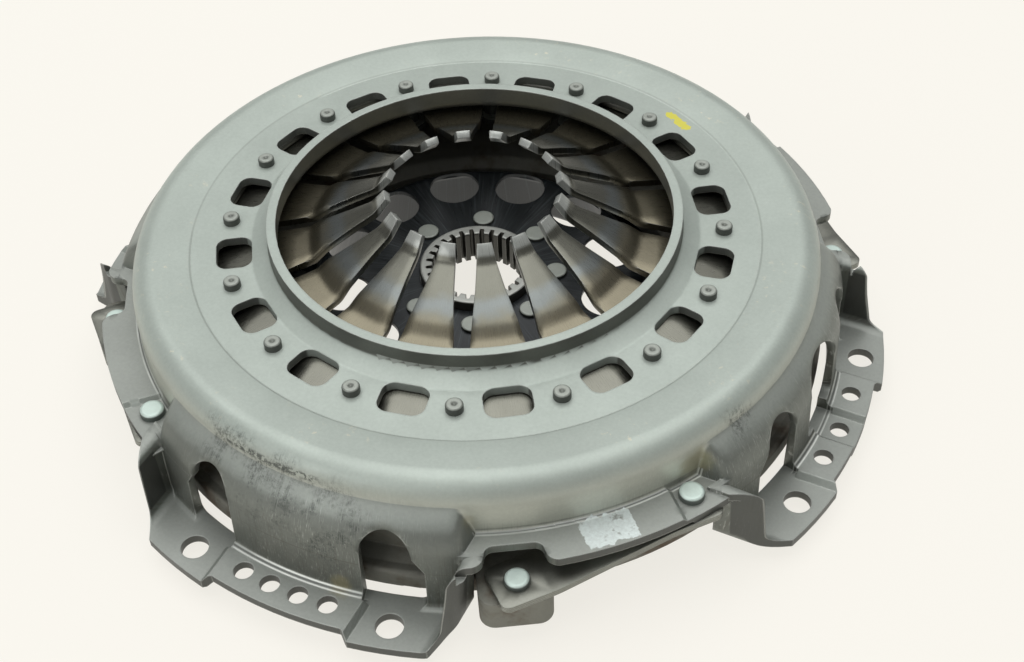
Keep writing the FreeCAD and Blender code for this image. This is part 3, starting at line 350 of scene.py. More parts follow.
class Finish:
    """Shader nodes of one surface finish."""

    def __init__(self, name):
        self.material = bpy.data.materials.new(name)
        self.material.use_nodes = True
        self.nodes = self.material.node_tree.nodes
        self.links = self.material.node_tree.links
        self.shader = self.nodes["Principled BSDF"]
        self.coordinates = self.add("ShaderNodeTexCoord")
        self.place = self.coordinates.outputs["Object"]

    def add(self, kind, inputs=None, **settings):
        node = self.nodes.new(kind)
        for name, value in settings.items():
            setattr(node, name, value)
        for name, value in (inputs or {}).items():
            self.feed(node.inputs[name], value)
        return node

    def feed(self, socket, value):
        if isinstance(value, bpy.types.NodeSocket):
            self.links.new(value, socket)
        elif hasattr(value, "__len__") and len(value) == 3 and socket.type == "RGBA":
            socket.default_value = (*value, 1)
        else:
            socket.default_value = value

    def calc(self, operation, *values):
        node = self.add("ShaderNodeMath", operation=operation)
        for socket, value in zip(node.inputs, values):
            self.feed(socket, value)
        return node.outputs[0]

    def vector(self, operation, *values, output="Vector"):
        node = self.add("ShaderNodeVectorMath", operation=operation)
        for socket, value in zip(node.inputs, values):
            self.feed(socket, value)
        return node.outputs[output]

    def ramp(self, value, start, end):
        """Smooth rise from 0 at start to 1 at end."""
        return self.add("ShaderNodeMapRange", {"Value": value, "From Min": start, "From Max": end},
                        interpolation_type="SMOOTHSTEP").outputs["Result"]

    def band(self, value, low, high, soft):
        """1 between two values, 0 outside them."""
        rise = self.ramp(value, low - soft, low + soft)
        fall = self.ramp(value, high + soft, high - soft)
        return self.calc("MULTIPLY", rise, fall)

    def mix(self, factor, first, second):
        node = self.add("ShaderNodeMix", data_type="RGBA")
        self.feed(node.inputs[0], factor)
        self.feed(node.inputs[6], first)
        self.feed(node.inputs[7], second)
        return node.outputs[2]

    def shaded(self, colour, value):
        """Colour times a grey value."""
        node = self.add("ShaderNodeMix", data_type="RGBA", blend_type="MULTIPLY")
        self.feed(node.inputs[0], 1.0)
        self.feed(node.inputs[6], colour)
        self.feed(node.inputs[7], value)
        return node.outputs[2]

    def noise(self, scale, detail=3.0, rough=0.5, where=None):
        return self.add("ShaderNodeTexNoise", {
            "Vector": where or self.place, "Scale": scale, "Detail": detail, "Roughness": rough,
        }).outputs["Fac"]

    def spread(self, value, low, high):
        """Linear change of a noise into low to high."""
        return self.add("ShaderNodeMapRange", {
            "Value": value, "From Min": NOISE_LOW, "From Max": NOISE_HIGH, "To Min": low, "To Max": high,
        }).outputs["Result"]

    def parts(self):
        """X, Y and Z of the place."""
        return self.add("ShaderNodeSeparateXYZ", {"Vector": self.place}).outputs

    def around(self):
        """Height, radius and direction from the clutch axis."""
        parts = self.parts()
        flat = self.vector("MULTIPLY", self.place, (1, 1, 0))
        radius = self.vector("LENGTH", flat, output="Value")
        return parts["Z"], radius, self.vector("NORMALIZE", flat)

    def streaks(self, direction, along, length, scale):
        """Fine scratches that run along a value, laid side by side round the axis."""
        lift = self.add("ShaderNodeCombineXYZ", {"Z": self.calc("MULTIPLY", along, length)}).outputs[0]
        return self.noise(scale, 4.0, 0.6, self.vector("ADD", direction, lift))

    def upward(self):
        """How far a surface faces up, from -1 to 1."""
        normal = self.coordinates.outputs["Normal"]
        return self.add("ShaderNodeSeparateXYZ", {"Vector": normal}).outputs["Z"]

    def rounded(self, width):
        """Normal that is rounded off at sharp edges, and the share of edge in a place."""
        bevel = self.add("ShaderNodeBevel", {"Radius": width}, samples=EDGE_SAMPLES).outputs[0]
        true = self.add("ShaderNodeNewGeometry").outputs["Normal"]
        facing = self.vector("DOT_PRODUCT", bevel, true, output="Value")
        return bevel, self.ramp(facing, *EDGE_FACING)

    def blot(self, centre, size, ragged):
        """Soft ball round a point, as a mask with a ragged rim."""
        far = self.vector("DISTANCE", self.place, centre, output="Value")
        wobble = self.calc("MULTIPLY", self.calc("SUBTRACT", self.noise(260, 3.0, 0.6), 0.5), ragged)
        return self.ramp(self.calc("ADD", far, wobble), size, size * 0.35)

    def either(self, *values):
        """Largest of several masks."""
        total = values[0]
        for value in values[1:]:
            total = self.calc("MAXIMUM", total, value)
        return total

    def both(self, *values):
        """Product of several masks."""
        total = values[0]
        for value in values[1:]:
            total = self.calc("MULTIPLY", total, value)
        return total

    def less(self, value):
        """What a mask leaves out."""
        return self.calc("SUBTRACT", 1.0, value)

    def surface(self, colour, metal, rough, height=None, strength=0.15, depth=FINE_GRAIN, normal=None):
        self.feed(self.shader.inputs["Base Color"], colour)
        self.feed(self.shader.inputs["Metallic"], metal)
        self.feed(self.shader.inputs["Roughness"], rough)
        if height is not None:
            bump = self.add("ShaderNodeBump",
                            {"Strength": strength, "Distance": depth, "Height": height})
            if normal is not None:
                self.feed(bump.inputs["Normal"], normal)
            normal = bump.outputs[0]
        if normal is not None:
            self.feed(self.shader.inputs["Normal"], normal)
        return self.material


def coat(piece, material):
    """Gives a piece this finish and no other."""
    piece.data.materials.clear()
    piece.data.materials.append(material)


def dress(material, *nodes):
    """Gives CAD nodes a finish."""
    for name in nodes:
        coat(frame["nodes"][name], material)


def cover_finish(steel):
    """Pressed steel with painted light and shade: paler on the crown and the wall between the feet than
    on the feet's walls, darkest on the inner rim round the fingers; with bends, cut edges, marks and
    paint.
    """
    finish = Finish("cover steel")
    height, radius, direction = finish.around()
    up = finish.upward()
    flat = finish.ramp(up, 0.55, 0.88)
    low = finish.ramp(height, *CROWN_TO_WALL)
    wall = finish.both(low, finish.less(flat))
    blotch = finish.noise(38, 3.0, 0.6)
    patchy = finish.ramp(finish.noise(26, 3.0, 0.6), 0.40, 0.62)
    grain = finish.noise(900, 2.0, 0.6)
    # Painted light and shade by facing and height: the upright walls darker, the wall between the feet
    # lighter, the low flat ledges and feet in a middle tone.
    colour = finish.mix(wall, steel.crown, steel.wall)
    tower = finish.both(wall, finish.ramp(radius, *TOWER_OUTSIDE), finish.ramp(radius, *TOWER_INSIDE))
    colour = finish.mix(tower, colour, steel.tower)
    colour = finish.mix(finish.both(low, flat), colour, steel.flange)
    # Painted shade: the inner faces of the rim round the fingers take a dark tone.
    inside = finish.both(finish.ramp(radius, *COLLAR_INSIDE), finish.ramp(up, 0.8, 0.4))
    colour = finish.mix(finish.both(inside, 0.9), colour, steel.collar_shade)
    colour = wall_marks(finish, colour, steel, wall, patchy, height, direction)
    colour = shoulder_marks(finish, colour, steel, height, radius)
    colour = finish.shaded(colour, finish.spread(blotch, 0.93, 1.05))
    colour = finish.shaded(colour, finish.spread(grain, 0.95, 1.05))
    haunch = finish.both(finish.band(height, *HAUNCH_HEIGHTS), finish.ramp(radius, *HAUNCH_START))
    lean = finish.both(finish.band(height, *LEAN_HEIGHTS), finish.band(radius, *LEAN_RADII))
    blended = finish.either(haunch, lean)
    normal, edge = finish.rounded(finish.calc("ADD", COVER_EDGE, finish.both(blended, BEND_EDGE)))
    edge = finish.both(edge, finish.less(blended))
    side = finish.less(finish.ramp(finish.calc("ABSOLUTE", up), 0.15, 0.35))
    vents = finish.both(finish.band(height, *VENT_HEIGHTS), finish.band(radius, *VENT_RADII))
    cut = finish.both(side, finish.either(finish.ramp(radius, *PAD_EDGE), vents))
    colour = finish.mix(finish.both(cut, 0.85), colour, steel.cut_edge_and_shade)
    colour, bright = bend_lines(finish, colour, steel, patchy, height, radius)
    # Paler edges and bright lines along the bends: partly rubbed wear, partly painted highlight.
    colour = finish.mix(finish.either(finish.both(edge, 0.4), bright), colour, steel.polish_and_highlight)
    colour = paint_marks(finish, colour, steel)
    rough = finish.spread(finish.noise(60, 3.0), 0.40, 0.52)
    rough = finish.calc("SUBTRACT", rough, finish.both(bright, 0.2))
    metal = finish.calc("ADD", 0.35, finish.both(finish.either(wall, inside), 0.3))
    return finish.surface(colour, metal, rough, grain, 0.12, normal=normal)


def wall_marks(finish, colour, steel, wall, patchy, height, direction):
    """Draw streaks, scuffs and stains on the upright sheet."""
    parts = finish.parts()
    draw = finish.streaks(direction, height, 0.3, 230)
    fine = finish.streaks(direction, height, 0.6, 520)
    foot = finish.both(wall, finish.ramp(height, *FOOT_BRONZE))
    colour = finish.mix(finish.both(foot, patchy, 0.22), colour, steel.draw_mark)
    dark = finish.both(wall, finish.ramp(height, *STREAK_TOP), finish.ramp(draw, 0.50, 0.66))
    colour = finish.mix(finish.both(dark, 0.30), colour, steel.draw_mark)
    light = finish.both(wall, finish.ramp(fine, 0.56, 0.70), patchy)
    colour = finish.mix(finish.both(light, 0.30), colour, steel.polish_and_highlight)
    fuzz = finish.both(finish.ramp(finish.noise(700, 5.0, 0.8), 0.38, 0.58),
                       finish.ramp(finish.noise(110, 4.0, 0.7), 0.40, 0.60))
    hairs = finish.ramp(finish.streaks(direction, height, 0.20, 900), 0.34, 0.60)
    scuffs = finish.either(*(finish.blot(*mark) for mark in SCUFFS))
    scuffs = finish.both(scuffs, finish.ramp(height, *SCUFF_TOP))
    colour = finish.mix(finish.both(scuffs, fuzz, hairs, 0.9), colour, steel.smudge)
    scrape = finish.both(finish.band(height, *SCRAPE_HEIGHTS),
                         finish.band(parts["X"], *SCRAPE_X),
                         finish.ramp(parts["Y"], *SCRAPE_Y),
                         finish.ramp(finish.noise(480, 3.0, 0.7), 0.47, 0.56))
    colour = finish.mix(finish.both(scrape, 0.8), colour, steel.smudge)
    line = finish.both(wall, finish.band(height, *DRAW_LINE), patchy)
    colour = finish.mix(finish.both(line, 0.5), colour, steel.draw_mark)
    corners = finish.either(*(finish.blot(*mark) for mark in STAINS))
    return finish.mix(finish.both(corners, 0.6), colour, steel.stain)


def shoulder_marks(finish, colour, steel, height, radius):
    """Dark line where the land starts, painted shade of the step there, and warm flecks on the shoulder.
    """
    # Painted shade: a dark line in the wall tone along the step at the land's edge.
    line = finish.band(radius, *LAND_LINE)
    colour = finish.mix(finish.both(line, 0.35), colour, steel.wall)
    belt = finish.both(finish.band(radius, *SHOULDER_RADII), finish.ramp(height, *SHOULDER_START))
    spots = finish.ramp(finish.noise(420, 3.0, 0.6), 0.60, 0.72)
    here = finish.ramp(finish.noise(34, 2.0), 0.46, 0.62)
    return finish.mix(finish.both(belt, spots, here, 0.55), colour, steel.fleck)


def bend_lines(finish, colour, steel, patchy, height, radius):
    """Bright double lines along the bends, partly rubbed by the press tools and partly painted highlight,
    with dark ones beside them that are painted shade in the bends.
    """
    parts = finish.parts()
    sideways = finish.calc("MINIMUM", finish.calc("ABSOLUTE", parts["X"]),
                           finish.calc("ABSOLUTE", parts["Y"]))
    root = finish.both(finish.band(height, *ROOT_HEIGHTS), finish.ramp(sideways, *ROOT_HALF_WIDTH))
    crease = finish.band(height, *CREASE_HEIGHTS)

    def rings(root_lines, crease_lines):
        """Mask of the lines at the feet's roots and at the ledges' creases."""
        return finish.either(*(finish.both(root, finish.band(radius, *line)) for line in root_lines),
                             *(finish.both(crease, finish.band(radius, *line)) for line in crease_lines))

    lines = rings(ROOT_BRIGHT, CREASE_BRIGHT)
    dark = rings(ROOT_SHADE, CREASE_SHADE)
    # Painted shade: dark lines in the bends beside the bright ones.
    colour = finish.mix(finish.both(dark, 0.6), colour, steel.cut_edge_and_shade)
    broken = finish.calc("ADD", 0.25, finish.both(patchy, 0.45))
    return colour, finish.both(lines, broken)


def patch(finish, centre, turn, half_length, half_width, ragged):
    """Soft-edged rectangle round a point, as a mask."""
    offset = finish.vector("SUBTRACT", finish.place, centre)
    node = finish.add("ShaderNodeVectorRotate", {"Vector": offset, "Angle": turn},
                      rotation_type="Z_AXIS")
    parts = finish.add("ShaderNodeSeparateXYZ", {"Vector": node.outputs[0]}).outputs
    wobble = finish.calc("MULTIPLY", finish.calc("SUBTRACT", finish.noise(420, 2.0), 0.5), ragged)
    across = finish.calc("ADD", finish.calc("ABSOLUTE", parts["X"]), wobble)
    along = finish.calc("ADD", finish.calc("ABSOLUTE", parts["Y"]), wobble)
    inside = finish.calc("MULTIPLY", finish.ramp(across, half_width, half_width - DAB_FADE),
                         finish.ramp(along, half_length, half_length - DAB_FADE))
    near = finish.ramp(finish.calc("ABSOLUTE", parts["Z"]), *DAB_DEPTH)
    return finish.calc("MULTIPLY", inside, near)


def paint_marks(finish, colour, steel):
    """Crackled white dab on one ledge, and a yellow one on the land."""
    white = patch(finish, *WHITE_DAB)
    thin = finish.both(finish.ramp(finish.noise(260, 3.0, 0.6), 0.30, 0.42),
                       finish.spread(finish.noise(900, 3.0, 0.7), 0.6, 1.0))
    colour = finish.mix(finish.both(white, thin, 0.95), colour, steel.paint_white)
    yellow = patch(finish, *YELLOW_DAB)
    return finish.mix(finish.both(yellow, 0.9), colour, steel.paint_yellow)


def plain_steel(name, colour, metal, rough, scale, contrast):
    """Even metal with fine grain, soft edges and light wear."""
    finish = Finish(name)
    blotch = finish.noise(90, 3.0, 0.6)
    grain = finish.noise(scale, 3.0, 0.6)
    shade = finish.shaded(colour, finish.spread(blotch, 1 - contrast, 1 + contrast))
    shade = finish.shaded(shade, finish.spread(grain, 1 - contrast / 2, 1 + contrast / 2))
    normal, edge = finish.rounded(EDGE)
    shade = finish.mix(finish.calc("MULTIPLY", edge, 0.3), shade, WORN_STEEL)
    roughness = finish.spread(blotch, rough - 0.06, rough + 0.06)
    return finish.surface(shade, metal, roughness, grain, normal=normal)


def rivet_finish(name, top, steel, turned=False):
    """Heads with painted shade on their sides, pivot rivets with a dimple and a ring in the head as well.
    """
    finish = Finish(name)
    blotch = finish.noise(300, 3.0, 0.6)
    grain = finish.noise(1500, 2.0, 0.6)
    colour = finish.shaded(top, finish.spread(blotch, 0.90, 1.06))
    # Painted shade: the sides of the heads darker than their tops.
    side = finish.ramp(finish.upward(), 0.75, 0.35)
    colour = finish.mix(finish.both(side, 0.85), colour, steel.rivet_side)
    if turned:
        colour = head_rings(finish, colour, steel)
    normal = finish.rounded(EDGE)[0]
    return finish.surface(colour, 0.35, finish.spread(blotch, 0.40, 0.52), grain, normal=normal)


def head_rings(finish, colour, steel):
    """Dark dimple and ring round the middle of the nearest pivot rivet."""
    radius = finish.around()[1]
    parts = finish.parts()
    angle = finish.calc("ARCTAN2", parts["Y"], parts["X"])
    pitch = 2 * math.pi / PIVOTS
    nearest = finish.both(finish.calc("ROUND", finish.calc("DIVIDE", angle, pitch)), pitch)
    across = finish.both(finish.calc("SUBTRACT", angle, nearest), PIVOT_CIRCLE)
    along = finish.calc("SUBTRACT", radius, PIVOT_CIRCLE)
    far = finish.calc("SQRT", finish.calc("ADD", finish.both(across, across), finish.both(along, along)))
    colour = finish.mix(finish.both(finish.ramp(far, *DIMPLE), 0.5), colour, steel.rivet_side)
    ring = finish.band(far, *HEAD_RING)
    return finish.mix(finish.both(ring, 0.3), colour, steel.rivet_side)


def spring_finish(spring):
    """Ground fingers with a blue temper tint and a painted warm highlight on their outer part, cranks
    with soft bends and worn tips.
    """
    finish = Finish("spring steel")
    _, radius, direction = finish.around()
    lines = finish.streaks(direction, radius, 0.7, 420)
    blotch = finish.noise(70, 3.0, 0.6)
    wavy = finish.calc("ADD", radius, finish.both(finish.calc("SUBTRACT", blotch, 0.5), BAND_WAVE))
    # Painted highlight: a warm tone on the outer part of the fingers.
    colour = finish.mix(finish.ramp(wavy, *FINGER_TO_WARM_HIGHLIGHT), spring.finger, spring.warm_highlight)
    colour = finish.mix(finish.ramp(radius, *ROOT_START), colour, spring.root)
    blue = finish.band(wavy, *BLUE_BELT)
    colour = finish.mix(finish.both(blue, 0.45), colour, spring.blue)
    tip = finish.ramp(radius, *TIP_START)
    colour = finish.mix(tip, colour, spring.tip)
    colour = finish.shaded(colour, finish.spread(lines, 0.88, 1.10))
    colour = finish.shaded(colour, finish.spread(blotch, 0.90, 1.08))
    crank = finish.band(radius, *CRANK)
    normal, edge = finish.rounded(finish.calc("ADD", EDGE, finish.both(crank, BEND_EDGE)))
    edge = finish.both(edge, finish.less(crank))
    colour = finish.mix(finish.both(edge, 0.5), colour, WORN_SPRING)
    metal = finish.calc("SUBTRACT", 0.95, finish.both(tip, 0.45))
    return finish.surface(colour, metal, finish.spread(lines, 0.24, 0.36), lines, 0.12, normal=normal)


def iron_finish(disc):
    """Sandy casting with brown stains and rubbed edges."""
    finish = Finish("cast iron")
    blotch = finish.noise(55, 4.0, 0.65)
    sand = finish.noise(700, 4.0, 0.7)
    colour = finish.mix(finish.ramp(blotch, 0.48, 0.72), disc.iron, disc.rust)
    colour = finish.shaded(colour, finish.spread(sand, 0.85, 1.1))
    normal, edge = finish.rounded(IRON_EDGE)
    colour = finish.mix(finish.calc("MULTIPLY", edge, 0.25), colour, WORN_IRON)
    return finish.surface(colour, 0.45, finish.spread(sand, 0.55, 0.75), sand, 0.35, COARSE_GRAIN, normal)


def facing_finish(disc):
    """Pressed fibre with specks of brass."""
    finish = Finish("friction facing")
    fibre = finish.noise(1100, 3.0, 0.7)
    blotch = finish.noise(120, 3.0, 0.6)
    cells = finish.add("ShaderNodeTexVoronoi", {"Vector": finish.place, "Scale": 900})
    colour = finish.shaded(disc.facing, finish.spread(blotch, 0.88, 1.08))
    colour = finish.shaded(colour, finish.spread(fibre, 0.86, 1.1))
    spark = finish.ramp(cells.outputs["Distance"], 0.16, 0.08)
    colour = finish.mix(finish.calc("MULTIPLY", spark, 0.35), colour, disc.brass)
    return finish.surface(colour, 0.0, finish.spread(fibre, 0.78, 0.92), fibre, 0.3, COARSE_GRAIN)


def carrier_finish(disc):
    """Black coating with painted sheen: paler streaks along the radius in place of its reflections, and
    paler edges.
    """
    finish = Finish("black carrier")
    _, radius, direction = finish.around()
    blotch = finish.noise(80, 3.0, 0.6)
    grain = finish.noise(1200, 3.0, 0.6)
    sheen_streaks = finish.streaks(direction, radius, 0.8, 60)
    colour = finish.shaded(disc.carrier, finish.spread(blotch, 0.75, 1.3))
    # Painted reflection: paler streaks along the radius.
    colour = finish.mix(finish.both(finish.ramp(sheen_streaks, 0.50, 0.72), 0.5), colour, disc.sheen)
    normal, edge = finish.rounded(CARRIER_EDGE)
    colour = finish.mix(finish.both(edge, 0.35), colour, disc.sheen)
    return finish.surface(colour, 0.3, finish.spread(sheen_streaks, 0.24, 0.44), grain, 0.1, normal=normal)


def hub_finish(disc):
    """Turned end with rings round the bore, and painted shade on the spline and the other side faces."""
    finish = Finish("hub steel")
    blotch = finish.noise(200, 3.0, 0.6)
    outward = finish.add("ShaderNodeCombineXYZ", {"X": finish.around()[1]}).outputs[0]
    turning = finish.noise(900, 2.0, 0.5, outward)
    # Painted shade: faces that do not face up take the darker spline colour.
    colour = finish.mix(finish.ramp(finish.upward(), 0.8, 0.4), disc.hub, disc.spline)
    colour = finish.shaded(colour, finish.spread(turning, 0.88, 1.08))
    colour = finish.shaded(colour, finish.spread(blotch, 0.90, 1.06))
    normal, edge = finish.rounded(EDGE)
    colour = finish.mix(finish.both(edge, 0.45), colour, WORN_HUB)
    return finish.surface(colour, 0.6, finish.spread(blotch, 0.34, 0.46), turning, normal=normal)


class ClutchPart:
    """What every operator of the add-on shares."""

    bl_options = {"REGISTER", "UNDO"}


class CLUTCH_OT_rivets(ClutchPart, bpy.types.Operator):
    """Finish the rivets and the two pivot rings"""

    bl_idname = "clutch.rivets"
    bl_label = "Rivets and rings"

    def execute(self, context):
        steel = context.scene.clutch_steel
        dress(rivet_finish("zinc rivet", steel.rivet, steel), "cover_strap_rivets", "lug_strap_rivets")
        dress(rivet_finish("dull rivet", steel.pivot, steel), "hub_rivets", "segment_rivets")
        dress(rivet_finish("pivot rivet", steel.pivot, steel, turned=True), "pivot_rivets")
        dress(plain_steel("ring wire", steel.ring, 0.9, 0.35, 1500, 0.08),
              "upper_pivot_ring", "lower_pivot_ring")
        return {"FINISHED"}


def select_only(piece):
    bpy.ops.object.select_all(action="DESELECT")
    piece.select_set(True)
    bpy.context.view_layer.objects.active = piece


def welded_copy(node, name):
    """Copy of a CAD node with its triangles joined, ready to be worked on."""
    select_only(frame["nodes"][node])
    bpy.ops.object.duplicate()
    piece = bpy.context.view_layer.objects.active
    piece.name = name
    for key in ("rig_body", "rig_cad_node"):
        del piece[key]
    piece.parent = None
    bpy.ops.mesh.customdata_custom_splitnormals_clear()
    bpy.ops.object.mode_set(mode="EDIT")
    bpy.ops.mesh.select_all(action="SELECT")
    bpy.ops.mesh.remove_doubles(threshold=WELD)
    bpy.ops.object.mode_set(mode="OBJECT")
    return piece


def free_copy(node, name, bevel):
    """Welded, bevelled copy of a CAD node."""
    piece = welded_copy(node, name)
    edges = piece.modifiers.new("soft edges", "BEVEL")
    edges.width = bevel
    edges.segments = 2
    edges.limit_method = "ANGLE"
    edges.angle_limit = math.radians(BEVEL_ANGLE)
    bpy.ops.object.modifier_apply(modifier=edges.name)
    bpy.ops.object.shade_smooth_by_angle(angle=math.radians(SMOOTH_ANGLE))
    return piece


def sector(inner, outer, low, high, start, sweep):
    """Closed piece of a ring round the axis, to cut with, from start on to the left by sweep."""
    bpy.ops.object.select_all(action="DESELECT")
    bpy.ops.mesh.primitive_plane_add(size=1)
    tool = bpy.context.view_layer.objects.active
    for vertex in tool.data.vertices:
        vertex.co = (outer if vertex.co.x > 0 else inner, 0, high if vertex.co.y > 0 else low)
    tool.rotation_euler = (0, 0, start)
    bpy.ops.object.transform_apply(location=False, rotation=True, scale=False)
    bpy.ops.object.mode_set(mode="EDIT")
    bpy.ops.mesh.select_all(action="SELECT")
    # A positive angle would turn the profile to the right.
    bpy.ops.mesh.spin(steps=SECTOR_STEPS, angle=-sweep, center=(0, 0, 0), axis=(0, 0, 1))
    bpy.ops.mesh.select_all(action="SELECT")
    bpy.ops.mesh.remove_doubles(threshold=TOOL_WELD)
    bpy.ops.mesh.normals_make_consistent(inside=False)
    bpy.ops.object.mode_set(mode="OBJECT")
    return tool


def carve(piece, tool):
    """Cuts the tool's shape out of a piece."""
    select_only(piece)
    cut = piece.modifiers.new("cut", "BOOLEAN")
    cut.operation = "DIFFERENCE"
    cut.solver = "EXACT"
    cut.object = tool
    bpy.ops.object.modifier_apply(modifier=cut.name)
    bpy.data.objects.remove(tool)


class CLUTCH_OT_cover(ClutchPart, bpy.types.Operator):
    """Build the pressed cover, with foot walls that meet the crown and ledges that end at the feet"""

    bl_idname = "clutch.cover"
    bl_label = "Cover"

    def execute(self, context):
        cover = welded_copy("cover", "pressed_cover")
        for foot in range(FEET):
            for *section, start, sweep in LEDGE_ENDS:
                turn = math.radians(QUARTER * foot + start)
                carve(cover, sector(*section, turn, math.radians(sweep)))
        self.lean_walls(cover)
        bpy.ops.object.shade_smooth_by_angle(angle=math.radians(COVER_SMOOTH_ANGLE))
        weighted = cover.modifiers.new("flat faces stay flat", "WEIGHTED_NORMAL")
        weighted.keep_sharp = True
        bpy.ops.object.modifier_apply(modifier=weighted.name)
        coat(cover, cover_finish(context.scene.clutch_steel))
        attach(cover, COVER)
        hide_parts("cover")
        return {"FINISHED"}

    def lean_walls(self, cover):
        """Leans the feet's walls in, so that they meet the sheet above without a step."""
        for vertex in cover.data.vertices:
            height, radius = vertex.co.z, vertex.co.xy.length
            if abs(radius - WALL_RADIUS) < WALL_REACH and WALL_ROOT < height < WALL_TOP + LEAN_MARGIN:
                lean = WALL_STEP * (height - WALL_ROOT) / (WALL_TOP - WALL_ROOT)
                vertex.co.xy *= (radius - lean) / radius
        bpy.ops.object.mode_set(mode="EDIT")
        bpy.ops.mesh.select_all(action="SELECT")
        bpy.ops.mesh.remove_doubles(threshold=LEAN_WELD)
        bpy.ops.object.mode_set(mode="OBJECT")


class CLUTCH_OT_spring(ClutchPart, bpy.types.Operator):
    """Build the diaphragm spring, which flattens as the pressure plate is lifted"""

    bl_idname = "clutch.spring"
    bl_label = "Diaphragm spring"

    def execute(self, context):
        spring = free_copy("diaphragm_spring", "slotted_spring", SPRING_BEVEL)
        coat(spring, spring_finish(context.scene.clutch_spring))
        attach(spring, COVER)
        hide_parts("diaphragm_spring")
        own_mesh(spring)
        return {"FINISHED"}


class CLUTCH_OT_straps(ClutchPart, bpy.types.Operator):
    """Build the leaf straps, which bend between the cover and the pressure plate"""

    bl_idname = "clutch.straps"
    bl_label = "Leaf straps"

    def execute(self, context):
        steel = context.scene.clutch_steel
        material = plain_steel("strap steel", steel.strap, 0.9, 0.36, 1300, 0.12)
        for tower in range(1, TOWERS + 1):
            for layer in LAYERS:
                node = f"strap_{tower}_{layer}"
                strap = free_copy(node, f"leaf_{tower}_{layer}", STRAP_BEVEL)
                coat(strap, material)
                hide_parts(node)
                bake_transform(strap)
        return {"FINISHED"}


class CLUTCH_OT_plate(ClutchPart, bpy.types.Operator):
    """Finish the cast pressure plate"""

    bl_idname = "clutch.plate"
    bl_label = "Pressure plate"

    def execute(self, context):
        dress(iron_finish(context.scene.clutch_disc), "pressure_plate")
        return {"FINISHED"}


class CLUTCH_OT_disc(ClutchPart, bpy.types.Operator):
    """Finish the friction disc: hub, carrier, cushions and facings"""

    bl_idname = "clutch.disc"
    bl_label = "Friction disc"

    def execute(self, context):
        disc = context.scene.clutch_disc
        dress(carrier_finish(disc), "disc_carrier")
        dress(hub_finish(disc), "disc_hub")
        dress(facing_finish(disc), "upper_facing", "lower_facing")
        dress(plain_steel("facing rivet", disc.brass, 0.8, 0.35, 1500, 0.1), "facing_rivets")
        dress(plain_steel("cushion steel", disc.cushion, 0.8, 0.4, 1300, 0.1),
              *[f"cushion_{n:02d}" for n in range(1, CUSHIONS + 1)])
        return {"FINISHED"}


def soft_lamp(name, place, size, power):
    """Square lamp that faces the clutch."""
    data = bpy.data.lights.new(name, "AREA")
    data.energy = power
    data.size = size
    lamp = bpy.data.objects.new(name, data)
    lamp.location = place
    lamp.rotation_euler = (Vector(LAMP_TARGET) - Vector(place)).to_track_quat("-Z", "Y").to_euler()
    bpy.context.scene.collection.objects.link(lamp)


def seen_directly(nodes, links):
    """1 for what the camera sees straight, in a mirror or through glass."""
    path = nodes.new("ShaderNodeLightPath").outputs
    total = path["Is Camera Ray"]
    for name in ("Is Glossy Ray", "Is Transmission Ray"):
        step = nodes.new("ShaderNodeMath")
        step.operation = "MAXIMUM"
        links.new(total, step.inputs[0])
        links.new(path[name], step.inputs[1])
        total = step.outputs[0]
    return total


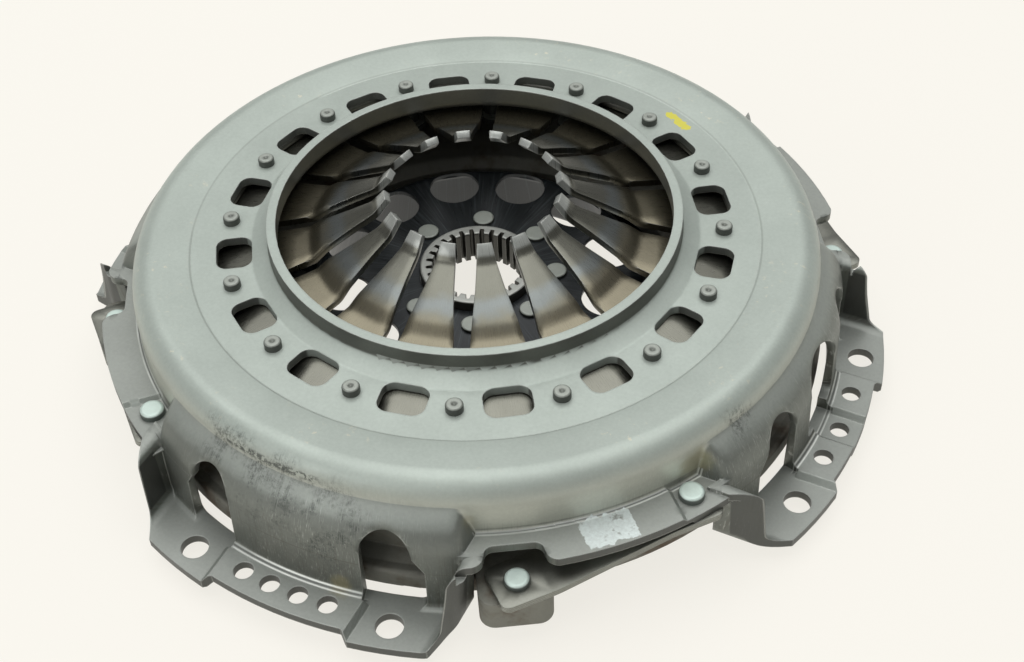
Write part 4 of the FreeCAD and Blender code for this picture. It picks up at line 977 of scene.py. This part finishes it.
class CLUTCH_OT_stage(ClutchPart, bpy.types.Operator):
    """Set up the pale floor, the soft lamps and the camera"""

    bl_idname = "clutch.stage"
    bl_label = "Stage"

    def execute(self, context):
        studio = context.scene.clutch_studio
        self.floor(studio)
        self.surroundings(context.scene, studio)
        soft_lamp("overhead lamp", OVERHEAD_PLACE, OVERHEAD_SIZE, studio.overhead)
        soft_lamp("front lamp", FRONT_PLACE, FRONT_SIZE, studio.front)
        self.camera(context.scene, studio)
        context.scene.view_settings.view_transform = "Standard"
        return {"FINISHED"}

    def floor(self, studio):
        """Pale floor that shines a little by itself where it is seen directly."""
        bpy.ops.object.select_all(action="DESELECT")
        bpy.ops.mesh.primitive_plane_add(size=FLOOR_SIZE, location=(0, 0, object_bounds()[0].z))
        floor = bpy.context.view_layer.objects.active
        floor.name = "floor"
        finish = Finish("pale floor")
        mottle = finish.noise(3, 2.0)
        colour = finish.shaded(studio.backdrop, finish.spread(mottle, 0.99, 1.0))
        material = finish.surface(colour, 0.0, 0.9)
        glow = finish.add("ShaderNodeEmission", {"Color": studio.backdrop, "Strength": 1.0}).outputs[0]
        share = finish.calc("MULTIPLY", seen_directly(finish.nodes, finish.links), studio.floor_glow)
        choice = finish.add("ShaderNodeMixShader")
        finish.links.new(share, choice.inputs[0])
        finish.links.new(finish.shader.outputs[0], choice.inputs[1])
        finish.links.new(glow, choice.inputs[2])
        finish.links.new(choice.outputs[0], finish.nodes["Material Output"].inputs["Surface"])
        floor.data.materials.append(material)
        floor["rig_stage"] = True

    def surroundings(self, scene, studio):
        """Soft room light: pale low down, darker half way up and bright above."""
        world = bpy.data.worlds.new("studio")
        scene.world = world
        world.use_nodes = True
        nodes, links = world.node_tree.nodes, world.node_tree.links
        direction = nodes.new("ShaderNodeTexCoord").outputs["Generated"]
        parts = nodes.new("ShaderNodeSeparateXYZ")
        links.new(direction, parts.inputs[0])
        shades = nodes.new("ShaderNodeValToRGB")
        ramp = shades.color_ramp
        stops = ((0.0, studio.horizon), (0.12, studio.horizon), (0.30, studio.middle),
                 (0.62, studio.middle), (0.90, studio.zenith))
        while len(ramp.elements) < len(stops):
            ramp.elements.new(0.5)
        for element, (place, strength) in zip(ramp.elements, stops):
            element.position = place
            element.color = (strength, strength, strength, 1)
        links.new(parts.outputs["Z"], shades.inputs[0])
        links.new(shades.outputs[0], nodes["Background"].inputs["Color"])
        nodes["Background"].inputs["Strength"].default_value = 1.0

    def camera(self, scene, studio):
        """Camera in the place and with the lens that were fitted to the photo."""
        data = bpy.data.cameras.new("camera")
        data.lens = studio.lens
        data.sensor_width = SENSOR_WIDTH
        data.clip_start = CLIP_START
        camera = bpy.data.objects.new("camera", data)
        level = math.cos(studio.tilt)
        back = Vector((math.sin(studio.turn) * level, -math.cos(studio.turn) * level,
                       math.sin(studio.tilt)))
        camera.rotation_mode = "QUATERNION"
        camera.rotation_quaternion = (-back).to_track_quat("-Z", "Y") @ Quaternion((0, 0, 1), studio.roll)
        camera.location = (studio.camera_x, studio.camera_y, studio.camera_z)
        scene.collection.objects.link(camera)
        scene.camera = camera


class CLUTCH_PT_panel(bpy.types.Panel):
    """The clutch's pieces and settings in the sidebar"""

    bl_idname = "CLUTCH_PT_panel"
    bl_label = "Diaphragm clutch"
    bl_space_type = "VIEW_3D"
    bl_region_type = "UI"
    bl_category = "Clutch"

    def draw(self, context):
        column = self.layout.column()
        for operator in OPERATORS:
            column.operator(operator.bl_idname)
        for group in SETTINGS:
            settings = getattr(context.scene, group)
            for name in settings.bl_rna.properties.keys():
                if name not in ("rna_type", "name"):
                    column.prop(settings, name)


SETTINGS = {
    "clutch_steel": ClutchSteel,
    "clutch_spring": ClutchSpring,
    "clutch_disc": ClutchDisc,
    "clutch_studio": ClutchStudio,
}
OPERATORS = (CLUTCH_OT_stage, CLUTCH_OT_cover, CLUTCH_OT_rivets, CLUTCH_OT_spring, CLUTCH_OT_straps,
             CLUTCH_OT_plate, CLUTCH_OT_disc)


def register():
    for group in SETTINGS.values():
        bpy.utils.register_class(group)
    for operator in OPERATORS:
        bpy.utils.register_class(operator)
    bpy.utils.register_class(CLUTCH_PT_panel)
    for name, group in SETTINGS.items():
        setattr(bpy.types.Scene, name, PointerProperty(type=group))


def unregister():
    for name in SETTINGS:
        delattr(bpy.types.Scene, name)
    bpy.utils.unregister_class(CLUTCH_PT_panel)
    for operator in OPERATORS:
        bpy.utils.unregister_class(operator)
    for group in SETTINGS.values():
        bpy.utils.unregister_class(group)


def main():
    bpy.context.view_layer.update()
    register()
    bpy.ops.clutch.stage()
    bpy.ops.clutch.cover()
    bpy.ops.clutch.rivets()
    bpy.ops.clutch.spring()
    bpy.ops.clutch.straps()
    bpy.ops.clutch.plate()
    bpy.ops.clutch.disc()


if __name__ == "__main__":
    main()
